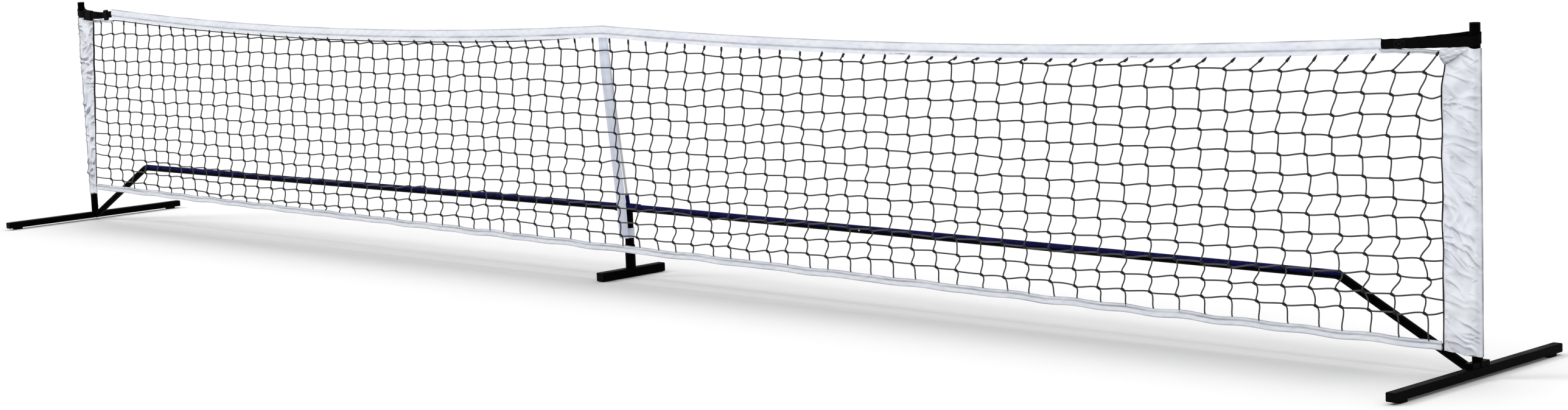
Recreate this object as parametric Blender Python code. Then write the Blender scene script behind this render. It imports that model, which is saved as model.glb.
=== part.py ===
"""Portable pickleball net: a knock-down steel tube frame with three bar feet and a hung net.

Metres, +Z up. X runs along the net, -Y is the front and the origin is on the ground, midway between the posts.
Each end has a bar foot, a post and a bent brace tube. Two straight tubes a side carry the crossbar from the
brace to the centre foot, which stands a little behind the net. Sprung snap buttons hold every tube joint.
"""

import math

import bmesh
import bpy
from mathutils import Matrix, Vector

FRONT, BACK = Vector((0, -1, 0)), Vector((0, 1, 0))
UP, DOWN = Vector((0, 0, 1)), Vector((0, 0, -1))
SIDES = {"left": -1, "right": 1}
GAP = 0.0003  # between pieces that touch

# Bar feet
HALF_SPAN = 3.353  # post axis to the middle: 22 ft between posts
BAR_LENGTH, BAR_WIDTH, BAR_HEIGHT = 0.836, 0.030, 0.025
CENTRE_LENGTH, CENTRE_WIDTH, CENTRE_HEIGHT = 0.288, 0.035, 0.030
BAR_WALL, BAR_CORNER = 0.0015, 0.003
BAR_TOP = 0.032
PAD_LENGTH, PAD_WIDTH, PAD_INSET = 0.036, 0.026, 0.042
CAP_FLANGE, CAP_PLUG = 0.003, 0.015
CENTRE_Y = 0.065  # the centre foot stands behind the net

# Tubes
ROUND = 20  # sides of a round section
WALL, SPIGOT_WALL = 0.0015, 0.0013
POST_R, BRACE_R, LEG_R, TEE_R = 0.0143, 0.0127, 0.0156, 0.0152
POST_TOP, POST_CAP = 0.930, 0.004
SPIGOT_LENGTH, NECK, WELD = 0.070, 0.006, 0.0008
SOCKET_R, SOCKET_HEIGHT = 0.0178, 0.080
BRACKET_HALF, BRACKET_HEIGHT, BRACKETED = 0.042, 0.0140, ("right",)  # block round the foot of a post
TEE_HALF = 0.058
CROSSBAR_Z = 0.243
BRACE_FOOT = Vector((HALF_SPAN - BAR_WIDTH / 2, 0.0, 0.0195))
BRACE_TOP = Vector((2.93, 0.0, CROSSBAR_Z))
BRACE_START, BEND_R = 0.010, 0.055
OUTER_JOINT, INNER_JOINT = 2.265, 1.165

# Snap buttons
BUTTON_R, BUTTON_HOLE_R, BUTTON_PROUD, BUTTON_INSET = 0.0040, 0.0044, 0.0028, 0.035
POST_BUTTON_Z = 0.0540
LEAF_WIDTH, LEAF_THICK, LEAF_BACK, LEAF_AHEAD = 0.0070, 0.0010, 0.009, 0.021
SMALL_ROUND = 12

# Centre rod
ROD_R, CUP_R, CUP_LENGTH, TIP_R = 0.0045, 0.0070, 0.030, 0.0058
ROD_FOOT = Vector((0, CENTRE_Y, CROSSBAR_Z + TEE_R - WELD))
ROD_TOP = Vector((0, -0.0060, 0.866))

# Net
NET_Y = -0.018
CORD = 0.003
TAPE_DEPTH, TAPE_END, PLY, CHANNEL = 0.041, 3.085, 0.0012, 0.0018
TAPE_CENTRE_Z = 0.881
TAPE_POST_Z = {-1: 0.926, 1: 0.904}  # height each half of the tape heads for at its post
TAPE_SAG = {-1: 0.051, 1: 0.043}
HEM_DEPTH, HEM_END = 0.025, {-1: 3.292, 1: 3.258}
HEM_Z, HEM_TILT = 0.1120, -0.0097
SLEEVE_BORE, SLEEVE_R, SLEEVE_TOP = 0.0162, 0.0175, 0.868
SLEEVE_FOOT = {-1: 0.112, 1: 0.061}
FIN_THICK = 0.0024
FIN_REACH = {-1: (0.046, 0.118), 1: (0.087, 0.087)}  # at the foot and at the top, from the post's axis
BAND_WIDTH, BAND_THICK = 0.050, 0.0012

# Tension straps: distances from the post's axis towards the middle, and heights of the webbing's middle line
WEB_WIDTH, WEB_THICK = 0.027, 0.0014
STRAP_REACH = HALF_SPAN - TAPE_END
STRAP_POST_Z = {-1: 0.8895, 1: 0.8845}  # front layer at the post
STRAP_TAPE_Z = {-1: 0.8865, 1: 0.8735}  # both layers at the tape
STRAP_RISE = {-1: 0.011, 1: 0.014}  # back layer over the front one, at the post
LAYERS_MEET = {-1: 0.185, 1: 0.230}
STRAP_SAG = {-1: 0.009, 1: 0.001}
SEWN_AT = 0.300
BUCKLE_Y, BUCKLE_HALF, BUCKLE_THICK = -0.0258, 0.0215, 0.010
MALE_BAR, SHOULDER, MOUTH, FEMALE_BAR = 0.0640, (0.0735, 0.0815), 0.0822, 0.1250
BAR_HALF, WRAP_R = 0.0018, 0.0037
SLIDE_AT, SLIDE_HALF_LENGTH, SLIDE_HALF = 0.222, 0.012, 0.0215
FRONT_WEB_Y, BACK_WEB_Y = -0.0205, -0.0165
PLAIN_FRONT_Y = -0.0195  # front layer of the strap that has no buckle

# Materials: base colour, roughness, metallic
FINISHES = {
    "painted_steel": ((0.012, 0.012, 0.015), 0.35, 0.5),
    "black_plastic": ((0.015, 0.015, 0.016), 0.50, 0.0),
    "rubber": ((0.020, 0.020, 0.020), 0.85, 0.0),
    "spring_steel": ((0.550, 0.550, 0.570), 0.30, 1.0),
    "glass_fibre": ((0.700, 0.690, 0.650), 0.40, 0.0),
    "black_webbing": ((0.012, 0.012, 0.013), 0.80, 0.0),
    "white_vinyl": ((0.820, 0.840, 0.880), 0.55, 0.0),
    "white_webbing": ((0.760, 0.780, 0.840), 0.80, 0.0),
    "net_cord": ((0.030, 0.030, 0.035), 0.80, 0.0),
}


# ---------------------------------------------------------------- outlines and curves


def circle(radius, sides=ROUND):
    turns = [2 * math.pi * k / sides for k in range(sides)]
    return [(radius * math.cos(t), radius * math.sin(t)) for t in turns]


def box_section(width, height, corner=0.0):
    """Corners of a rectangular section, each rounded with two points when corner is above 0."""
    points = []
    for quarter, (sx, sy) in enumerate(((1, 1), (-1, 1), (-1, -1), (1, -1))):
        centre = Vector((sx * (width / 2 - corner), sy * (height / 2 - corner)))
        for k in range(3 if corner else 1):
            angle = math.pi / 2 * (quarter + k / 2)
            points.append(tuple(centre + corner * Vector((math.cos(angle), math.sin(angle)))))
    return points


def fillet(before, corner, after, radius, steps=6):
    """Points of an arc that rounds the corner between two straight runs."""
    first, second = (before - corner).normalized(), (after - corner).normalized()
    half = first.angle(second) / 2
    middle = corner + (first + second).normalized() * (radius / math.sin(half))
    start = corner + first * (radius / math.tan(half)) - middle
    end = corner + second * (radius / math.tan(half)) - middle
    return [middle + start.normalized().slerp(end.normalized(), k / steps) * radius for k in range(steps + 1)]


def tape_top(x):
    """Height of the top tape's upper edge: each half sags between its post and the centre rod."""
    side = -1 if x < 0 else 1
    share = abs(x) / HALF_SPAN
    chord = TAPE_CENTRE_Z + (TAPE_POST_Z[side] - TAPE_CENTRE_Z) * share
    return chord - TAPE_SAG[side] * 4 * share * (1 - share)


def hem_middle(x):
    return HEM_Z + HEM_TILT * x


def crossbar_point(side, x):
    """Point of the crossbar's axis at distance x from the middle."""
    return Vector((side * x, CENTRE_Y * (1 - x / BRACE_TOP.x), CROSSBAR_Z))


def mirrored(point, side):
    return Vector((side * point.x, point.y, point.z))


def fin_reach(side, z):
    low, high = FIN_REACH[side]
    return low + (high - low) * (z - SLEEVE_FOOT[side]) / (SLEEVE_TOP - SLEEVE_FOOT[side])


def strap_point(side, reach, y, behind=False):
    """Point of a tension strap's middle line at a distance from the post's axis, in its front or back layer."""
    share = max(0.0, reach / STRAP_REACH)
    z = STRAP_POST_Z[side] + (STRAP_TAPE_Z[side] - STRAP_POST_Z[side]) * share
    z -= STRAP_SAG[side] * math.sin(math.pi * min(1.0, share))
    if behind:
        z += STRAP_RISE[side] * max(0.0, 1 - reach / LAYERS_MEET[side])
    return Vector((side * (HALF_SPAN - reach), y, z))


def strap_frame(side, reach, y):
    """Matrix whose X runs along the strap towards the middle and whose Z is up, at a point of the strap."""
    ahead = (strap_point(side, reach + 0.005, y) - strap_point(side, reach - 0.005, y)).normalized()
    across = UP.cross(ahead).normalized()
    turned = Matrix((ahead, across, ahead.cross(across))).transposed().to_4x4()
    return Matrix.Translation(strap_point(side, reach, y)) @ turned


# ---------------------------------------------------------------- solids


def material(slot):
    found = bpy.data.materials.get(slot)
    if found:
        return found
    made = bpy.data.materials.new(slot)
    made.use_nodes = True
    colour, roughness, metallic = FINISHES[slot]
    shader = made.node_tree.nodes["Principled BSDF"]
    shader.inputs["Base Color"].default_value = (*colour, 1)
    shader.inputs["Roughness"].default_value = roughness
    shader.inputs["Metallic"].default_value = metallic
    return made


def place_object(name, bm, origin):
    """Makes an object from a bmesh in world coordinates, with the object's origin at origin."""
    bmesh.ops.recalc_face_normals(bm, faces=bm.faces)
    bm.transform(Matrix.Translation(-origin))
    mesh = bpy.data.meshes.new(name)
    bm.to_mesh(mesh)
    bm.free()
    made = bpy.data.objects.new(name, mesh)
    made.location = origin
    bpy.context.scene.collection.objects.link(made)
    return made


def part(name, slot, bm, origin=Vector()):
    made = place_object(name, bm, origin)
    made.data.shade_smooth()
    made.data.set_sharp_from_angle(angle=math.radians(35))
    made.data.materials.append(material(slot))
    return made


def combine(target, bm, name, operation="DIFFERENCE"):
    """Cuts a bmesh from target, or joins it on. It stays in the scene as a hidden helper."""
    helper = place_object(name, bm, Vector())
    helper.hide_render = True
    helper.display_type = "WIRE"
    step = target.modifiers.new(name, "BOOLEAN")
    step.operation, step.solver, step.object = operation, "EXACT", helper


def bridge(bm, ring, other):
    for k in range(len(ring)):
        after = (k + 1) % len(ring)
        bm.faces.new((ring[k], ring[after], other[after], other[k]))


def skin(bm, outer, inner=()):
    """Skins rings of points into a closed solid. Inner rings make it hollow and open at both ends."""
    shells = [[[bm.verts.new(p) for p in ring] for ring in rings] for rings in (outer, inner)]
    for rings in shells:
        for first, second in zip(rings, rings[1:]):
            bridge(bm, first, second)
    for end in (0, -1):
        if inner:
            bridge(bm, shells[0][end], shells[1][end])
        else:
            bm.faces.new(shells[0][end])


def rings_along(path, section, scales=None, up=UP, mitre=None):
    """Copies of a section (across, up) at each point of a path. mitre is the normal of a slanted first end.

    up is one direction for the whole path, or a list with one for each point.
    """
    rings = []
    for k, point in enumerate(path):
        before, after = path[max(k - 1, 0)], path[min(k + 1, len(path) - 1)]
        behind = (point - before).normalized() if k else Vector()
        ahead = (after - point).normalized() if k < len(path) - 1 else Vector()
        along = (behind + ahead).normalized()
        across = along.cross(up[k] if isinstance(up, list) else up).normalized()
        rise = across.cross(along)
        scale = scales[k] if scales else 1.0
        ring = [point + (across * a + rise * b) * scale for a, b in section]
        if mitre and k == 0:
            ring = [spot + along * ((point - spot).dot(mitre) / along.dot(mitre)) for spot in ring]
        rings.append(ring)
    return rings


def add_tube(bm, path, radii, bores, sides=ROUND, **options):
    unit = circle(1.0, sides)
    skin(bm, rings_along(path, unit, radii, **options), rings_along(path, unit, bores, **options))


def add_turned(bm, start, along, stations, sides=ROUND):
    """A turned solid: stations are (distance along the axis, radius), and may go back in to make a cup."""
    ahead = along.normalized()
    across = ahead.orthogonal().normalized()
    rise = ahead.cross(across)
    unit = circle(1.0, sides)
    skin(bm, [[start + ahead * d + (across * a + rise * b) * r for a, b in unit] for d, r in stations])


def add_rod(bm, start, end, radius, sides=ROUND):
    add_turned(bm, start, end - start, [(0, radius), ((end - start).length, radius)], sides)


def add_box(bm, low, high, place=Matrix()):
    """A box given by two opposite corners, in the frame that place describes."""
    low, high = Vector(low), Vector(high)
    bmesh.ops.create_cube(bm, matrix=place @ Matrix.Translation((low + high) / 2) @ Matrix.Diagonal((*(high - low), 1)))


def add_prism(bm, corners, half, place=Matrix()):
    """An outline of (x, z) corners extruded from y = -half to y = half, in the frame that place describes."""
    skin(bm, [[place @ Vector((x, y, z)) for x, z in corners] for y in (-half, half)])


def add_ribbon(bm, path, width, thick, up=UP):
    skin(bm, rings_along(path, box_section(thick, width), up=up))


# ---------------------------------------------------------------- feet


def make_foot(label, x, y, length, width, height):
    """A rectangular tube along Y, with a plug in each end and a pad under each end."""
    low = BAR_TOP - height
    middle = Vector((x, y, low + height / 2))
    outer = box_section(width, height, BAR_CORNER)
    inner = box_section(width - 2 * BAR_WALL, height - 2 * BAR_WALL, BAR_CORNER - BAR_WALL)
    ends = [middle + FRONT * length / 2, middle + BACK * length / 2]
    bm = bmesh.new()
    skin(bm, rings_along(ends, outer), rings_along(ends, inner))
    bar = part(f"base_bar_{label}", "painted_steel", bm)
    plug = box_section(width - 2 * BAR_WALL - 2 * GAP, height - 2 * BAR_WALL - 2 * GAP, 0.001)
    pad = box_section(PAD_WIDTH, PAD_LENGTH, 0.004)
    top = low - GAP
    for end, outward, which in ((ends[0], FRONT, "front"), (ends[1], BACK, "back")):
        stations = [(-CAP_PLUG, plug, 1), (GAP, plug, 1), (GAP, outer, 1), (CAP_FLANGE * 0.5, outer, 1)]
        stations.append((CAP_FLANGE, outer, 0.88))
        side = outward.cross(UP)
        bm = bmesh.new()
        skin(bm, [[end + outward * d + (side * a + UP * b) * s for a, b in outline] for d, outline, s in stations])
        part(f"end_cap_{label}_{which}", "black_plastic", bm)
        spot = Vector((x, end.y, 0)) - outward * PAD_INSET
        bm = bmesh.new()
        stations = [(0.0, 0.94), (top * 0.3, 1.0), (top, 1.0)]
        skin(bm, [[spot + Vector((a * s, b * s, z)) for a, b in pad] for z, s in stations])
        part(f"foot_pad_{label}_{which}", "rubber", bm)
    return bar


def make_feet():
    feet = {
        label: make_foot(label, side * HALF_SPAN, 0, BAR_LENGTH, BAR_WIDTH, BAR_HEIGHT)
        for label, side in SIDES.items()
    }
    feet["centre"] = make_foot("centre", 0, CENTRE_Y, CENTRE_LENGTH, CENTRE_WIDTH, CENTRE_HEIGHT)
    return feet


# ---------------------------------------------------------------- tube joints


def make_button(name, centre, outward, along, radius, bore, holed):
    """A snap button on its leaf, in a joint whose outer tube has radius and whose inner tube has bore.

    Each tube in holed gets a hole for it. The leaf lies on the inner tube's wall and runs along the tube.
    """
    top = radius + BUTTON_PROUD
    leaf = bore - 0.0018
    bm = bmesh.new()
    stations = [(leaf, BUTTON_R), (top - 0.0012, BUTTON_R), (top - 0.0003, BUTTON_R * 0.8), (top, BUTTON_R * 0.45)]
    add_turned(bm, centre, outward, stations, SMALL_ROUND)
    button = part(name, "spring_steel", bm, centre + outward * top)
    strip = bmesh.new()
    ends = [centre + outward * leaf + along * reach for reach in (-LEAF_BACK, LEAF_AHEAD)]
    add_ribbon(strip, ends, LEAF_WIDTH, LEAF_THICK, up=outward.cross(along))
    combine(button, strip, name + "_leaf", "UNION")
    for tube in holed:
        hole = bmesh.new()
        add_rod(hole, centre + outward * 0.003, centre + outward * 0.030, BUTTON_HOLE_R, SMALL_ROUND)
        combine(tube, hole, f"{name}_hole_in_{tube.name}")


def make_tube(name, path, radii, thin=(), **options):
    """A hollow tube with its radius given at each point. Points listed in thin have the spigot's wall."""
    bm = bmesh.new()
    bores = [r - (SPIGOT_WALL if k in thin else WALL) for k, r in enumerate(radii)]
    add_tube(bm, path, radii, bores, **options)
    return part(name, "painted_steel", bm)


def weld_tube(target, name, ends, radius, wall=SPIGOT_WALL, **options):
    """Joins a short tube on to target, such as a spigot or a socket."""
    bm = bmesh.new()
    add_tube(bm, ends, [radius] * 2, [radius - wall] * 2, up=BACK, **options)
    combine(target, bm, name, "UNION")


def make_side_frame(label, side, bar):
    """Post, brace and crossbar tubes of one half, with their snap buttons. The bar foot gets two welded spigots."""
    spigot_r = POST_R - WALL - GAP
    axis = Vector((side * HALF_SPAN, 0, 0))
    if label in BRACKETED:
        block, bore = bmesh.new(), bmesh.new()
        corner = Vector((BAR_WIDTH / 2 - BAR_CORNER, BRACKET_HALF, 0))
        add_box(block, axis - corner + UP * (BAR_TOP - WELD), axis + corner + UP * (BAR_TOP + BRACKET_HEIGHT))
        add_rod(bore, axis + UP * BAR_TOP, axis + UP * 0.060, POST_R + 0.0005)
        combine(bar, block, f"bracket_{label}", "UNION")
        combine(bar, bore, f"bracket_bore_{label}")
    weld_tube(bar, f"post_spigot_{label}", [axis + UP * (BAR_TOP - WELD), axis + UP * (BAR_TOP + 0.085)], spigot_r)
    post = make_tube(f"post_{label}", [axis + UP * (BAR_TOP + 0.0005), axis + UP * POST_TOP], [POST_R] * 2, up=BACK)
    cap = bmesh.new()
    stations = [(-CAP_PLUG, spigot_r), (GAP, spigot_r), (GAP, POST_R), (POST_CAP * 0.7, POST_R), (POST_CAP, POST_R * 0.9)]
    add_turned(cap, axis + UP * POST_TOP, UP, stations)
    part(f"post_cap_{label}", "black_plastic", cap)
    button = axis + UP * POST_BUTTON_Z
    make_button(f"post_button_{label}", button, BACK, UP, POST_R, spigot_r - SPIGOT_WALL, (bar, post))

    spigot_r = BRACE_R - WALL - GAP
    spigot_bore = spigot_r - SPIGOT_WALL
    foot, bend = mirrored(BRACE_FOOT, side), mirrored(BRACE_TOP, side)
    rise = (bend - foot).normalized()
    ends = [foot - rise * 0.003, foot + rise * 0.085]
    weld_tube(bar, f"brace_spigot_{label}", ends, spigot_r, mitre=Vector((1, 0, 0)))
    joints = {"outer": crossbar_point(side, OUTER_JOINT), "inner": crossbar_point(side, INNER_JOINT)}
    inward = (joints["inner"] - joints["outer"]).normalized()
    path = [foot + rise * BRACE_START, *fillet(foot, bend, joints["outer"], BEND_R)]
    elbow = swaged_tube(f"elbow_tube_{label}", path, joints["outer"], inward)
    path = [joints["outer"] + inward * GAP]
    outer = swaged_tube(f"crossbar_outer_{label}", path, joints["inner"], inward)
    path = [joints["inner"] + inward * GAP, crossbar_point(side, 0.006)]
    inner = make_tube(f"crossbar_inner_{label}", path, [BRACE_R] * 2, up=UP)

    button = foot + rise * (BRACE_START + BUTTON_INSET)
    make_button(f"brace_button_{label}", button, BACK, rise, BRACE_R, spigot_bore, (bar, elbow))
    button = joints["outer"] + inward * BUTTON_INSET
    across = inward.cross(UP).normalized() * (1 if inward.cross(UP).y > 0 else -1)
    make_button(f"outer_button_{label}", button, across, inward, BRACE_R, spigot_bore, (elbow, outer))
    button = joints["inner"] + inward * BUTTON_INSET
    if side > 0:
        across = -across
    make_button(f"inner_button_{label}", button, across, inward, BRACE_R, spigot_bore, (outer, inner))
    return inner, inward


def swaged_tube(name, path, joint, inward):
    """A tube that necks down at joint and goes on inward as a spigot for the next tube."""
    path = [*path, joint - inward * NECK, joint, joint + inward * SPIGOT_LENGTH]
    radii = [BRACE_R] * (len(path) - 2) + [BRACE_R - WALL - GAP] * 2
    return make_tube(name, path, radii, thin=(len(path) - 2, len(path) - 1), up=UP)


def make_centre(inner_tubes, bar):
    """The centre foot's socket and leg, the tee that takes both crossbar halves, and the centre rod."""
    foot = Vector((0, CENTRE_Y, BAR_TOP))
    weld_tube(bar, "centre_socket", [foot - UP * WELD, foot + UP * SOCKET_HEIGHT], SOCKET_R, WALL)
    leg = make_tube("centre_leg", [foot + UP * 0.0006, Vector((0, CENTRE_Y, CROSSBAR_Z))], [LEG_R] * 2, up=BACK)
    cope = bmesh.new()
    tee_path = [crossbar_point(-1, 0.1), crossbar_point(1, 0), crossbar_point(1, 0.1)]
    skin(cope, rings_along(tee_path, circle(TEE_R + GAP, 24)))
    combine(leg, cope, "leg_cope")
    path = [crossbar_point(-1, TEE_HALF), crossbar_point(1, 0), crossbar_point(1, TEE_HALF)]
    tee = make_tube("centre_tee", path, [TEE_R] * 3, up=UP)
    for label, side in SIDES.items():
        inner, inward = inner_tubes[label]
        spot = crossbar_point(side, 0.036)
        make_button(f"tee_button_{label}", spot, BACK, -inward, TEE_R, BRACE_R - WALL, (inner, tee))

    lean = (ROD_TOP - ROD_FOOT).normalized()
    cup = bmesh.new()
    stations = [(0, CUP_R), (CUP_LENGTH, CUP_R), (CUP_LENGTH, ROD_R + GAP), (0.002, ROD_R + GAP)]
    add_turned(cup, ROD_FOOT, lean, stations, 16)
    combine(tee, cup, "rod_cup", "UNION")
    rod, tip = bmesh.new(), bmesh.new()
    tip_seat = ROD_TOP - lean * 0.003
    add_rod(rod, ROD_FOOT + lean * (0.002 + GAP), tip_seat, ROD_R, SMALL_ROUND)
    part("centre_rod", "glass_fibre", rod)
    stations = [(0.003, TIP_R * 0.8), (0.002, TIP_R), (-0.018, TIP_R), (-0.018, ROD_R + GAP), (GAP, ROD_R + GAP)]
    add_turned(tip, tip_seat, lean, stations, SMALL_ROUND)
    part("rod_tip", "black_plastic", tip)


# ---------------------------------------------------------------- net


def make_tape(name, stations, depth, opening):
    """A strip folded over the net's edge. stations are its folded edge's points, and it opens up or down."""
    half, fold = CHANNEL + PLY, 0.002
    outline = [(half, depth), (half, fold), (CHANNEL, 0), (-CHANNEL, 0), (-half, fold), (-half, depth)]
    outline += [(-CHANNEL, depth), (-CHANNEL, PLY), (CHANNEL, PLY), (CHANNEL, depth)]
    bm = bmesh.new()
    skin(bm, [[point + BACK * a + opening * b for a, b in outline] for point in stations])
    part(name, "white_vinyl", bm)


def net_top(x):
    """The net's upper edge: just inside the tape, and lower under each tension strap."""
    if abs(x) < TAPE_END - 0.05:
        return tape_top(x) - TAPE_DEPTH + 0.0015
    return tape_top(math.copysign(TAPE_END, x)) - TAPE_DEPTH - 0.012


def net_edge(side, z):
    return side * (HALF_SPAN - fin_reach(side, z) - GAP)


def make_net():
    step = TAPE_END - 0.05
    high = [step * (k / 22 - 1) for k in range(45)]
    outline = [(x, net_top(x)) for x in (-step - 0.002, *high, step + 0.002)]
    for side in (1, -1):
        top, low = net_top(side * HALF_SPAN), hem_middle(side * HEM_END[side]) - 0.004
        edge = [(net_edge(side, top), top), (net_edge(side, low), low)]
        outline += edge if side > 0 else edge[::-1]
    bm = bmesh.new()
    add_prism(bm, outline, CORD / 2, Matrix.Translation((0, NET_Y, 0)))
    part("net", "net_cord", bm)

    xs = [TAPE_END * (k / 22 - 1) for k in range(45)]
    make_tape("top_tape", [Vector((x, NET_Y, tape_top(x))) for x in xs], TAPE_DEPTH, DOWN)
    low = [Vector((side * HEM_END[side], NET_Y, hem_middle(side * HEM_END[side]) - HEM_DEPTH / 2)) for side in (-1, 1)]
    make_tape("bottom_tape", low, HEM_DEPTH, UP)
    for label, side in SIDES.items():
        foot, axis = SLEEVE_FOOT[side], Vector((side * HALF_SPAN, 0, 0))
        bm = bmesh.new()
        add_tube(bm, [axis + UP * foot, axis + UP * SLEEVE_TOP], [SLEEVE_R] * 2, [SLEEVE_BORE] * 2, up=BACK)
        sleeve = part(f"side_sleeve_{label}", "white_vinyl", bm)
        fin = bmesh.new()
        corners = [(-0.002, foot + 0.001), (FIN_REACH[side][0], foot + 0.001)]
        corners += [(FIN_REACH[side][1], SLEEVE_TOP - 0.001), (-0.002, SLEEVE_TOP - 0.001)]
        corners = [(side * (HALF_SPAN - reach), z) for reach, z in corners]
        add_prism(fin, corners, FIN_THICK / 2, Matrix.Translation((0, NET_Y, 0)))
        combine(sleeve, fin, f"sleeve_fin_{label}", "UNION")


def make_centre_band():
    """The centre band: from the back of the top tape, in front of the tee and the leg, to a loop on the leg."""
    back = CHANNEL + PLY + GAP + BAND_THICK / 2
    loop_r = SOCKET_R - 0.0005
    low_y = CENTRE_Y - loop_r - BAND_THICK * 1.5 - GAP
    path = [
        Vector((0, NET_Y + back, TAPE_CENTRE_Z - 0.006)),
        Vector((0, NET_Y + back, TAPE_CENTRE_Z - TAPE_DEPTH + 0.002)),
        Vector((0, CENTRE_Y - TEE_R - 0.0030, CROSSBAR_Z + 0.020)),
        Vector((0, low_y, CROSSBAR_Z - 0.030)),
        Vector((0, low_y, 0.136)),
    ]
    bm = bmesh.new()
    skin(bm, rings_along(path, box_section(BAND_WIDTH, BAND_THICK), up=BACK))
    part("centre_band", "white_webbing", bm)
    loop = bmesh.new()
    ends = [Vector((0, CENTRE_Y, z)) for z in (0.138, 0.172)]
    add_tube(loop, ends, [loop_r + BAND_THICK] * 2, [loop_r] * 2, up=BACK)
    part("band_leg_loop", "white_webbing", loop)


# ---------------------------------------------------------------- tension straps


def fold_round_bar(bar, back_to_post):
    """Route of a strap end that comes along the front of a bar, wraps it and lies back on itself.

    It runs towards the bar from the post when back_to_post is 1, and from the middle when it is -1.
    """
    route = []
    for k in range(7):
        angle = math.pi * (k / 6 - 0.5)
        route.append((bar + back_to_post * WRAP_R * math.cos(angle), BUCKLE_Y + WRAP_R * math.sin(angle)))
    return route + [(bar - back_to_post * away, BUCKLE_Y - WRAP_R + 0.0018) for away in (0.014, 0.026)]


def add_strap(name, side, route, wrap=()):
    """Webbing along a route of (distance from the post's axis, y), after any points that wrap the post."""
    path = [*wrap, *(strap_point(side, reach, y) for reach, y in route)]
    ups = [UP] * len(wrap) + [strap_frame(side, max(reach, 0.01), y).col[2].to_3d() for reach, y in route]
    bm = bmesh.new()
    skin(bm, rings_along(path, box_section(WEB_THICK, WEB_WIDTH), up=ups))
    return part(name, "black_webbing", bm)


def post_wrap(side):
    """Route of webbing that comes along behind the net, climbs a little and turns round the post to its front."""
    radius = POST_R + 0.0009 + WEB_THICK / 2
    route = [strap_point(side, reach, BACK_WEB_Y, behind=True) for reach in (0.256, 0.190)]
    for k in range(13):
        angle = math.pi / 2 * (1 - k / 6)
        z = STRAP_POST_Z[side] + STRAP_RISE[side] * (1 - k / 12)
        route.append(Vector((side * (HALF_SPAN + radius * math.cos(angle)), radius * math.sin(angle), z)))
    return route


def make_buckled_straps(label, side):
    """Two straps for a buckle: one round the post, whose tail runs back through the slide, and one on the tape."""
    route = [(MALE_BAR - 0.034, BUCKLE_Y - WRAP_R), *fold_round_bar(MALE_BAR, 1)]
    add_strap(f"post_strap_{label}", side, route, post_wrap(side))
    route = [(SEWN_AT, NET_Y), (0.264, NET_Y), (0.250, FRONT_WEB_Y), (0.190, FRONT_WEB_Y)]
    route += [(FEMALE_BAR + 0.036, BUCKLE_Y - WRAP_R), *fold_round_bar(FEMALE_BAR, -1)]
    add_strap(f"tape_strap_{label}", side, route)


def make_plain_strap(label, side):
    """One strap of a set length, sewn to the tape, that loops round the post and is sewn to itself."""
    route = [(0.250, PLAIN_FRONT_Y), (0.264, NET_Y), (SEWN_AT, NET_Y)]
    add_strap(f"end_strap_{label}", side, route, post_wrap(side))


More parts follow.
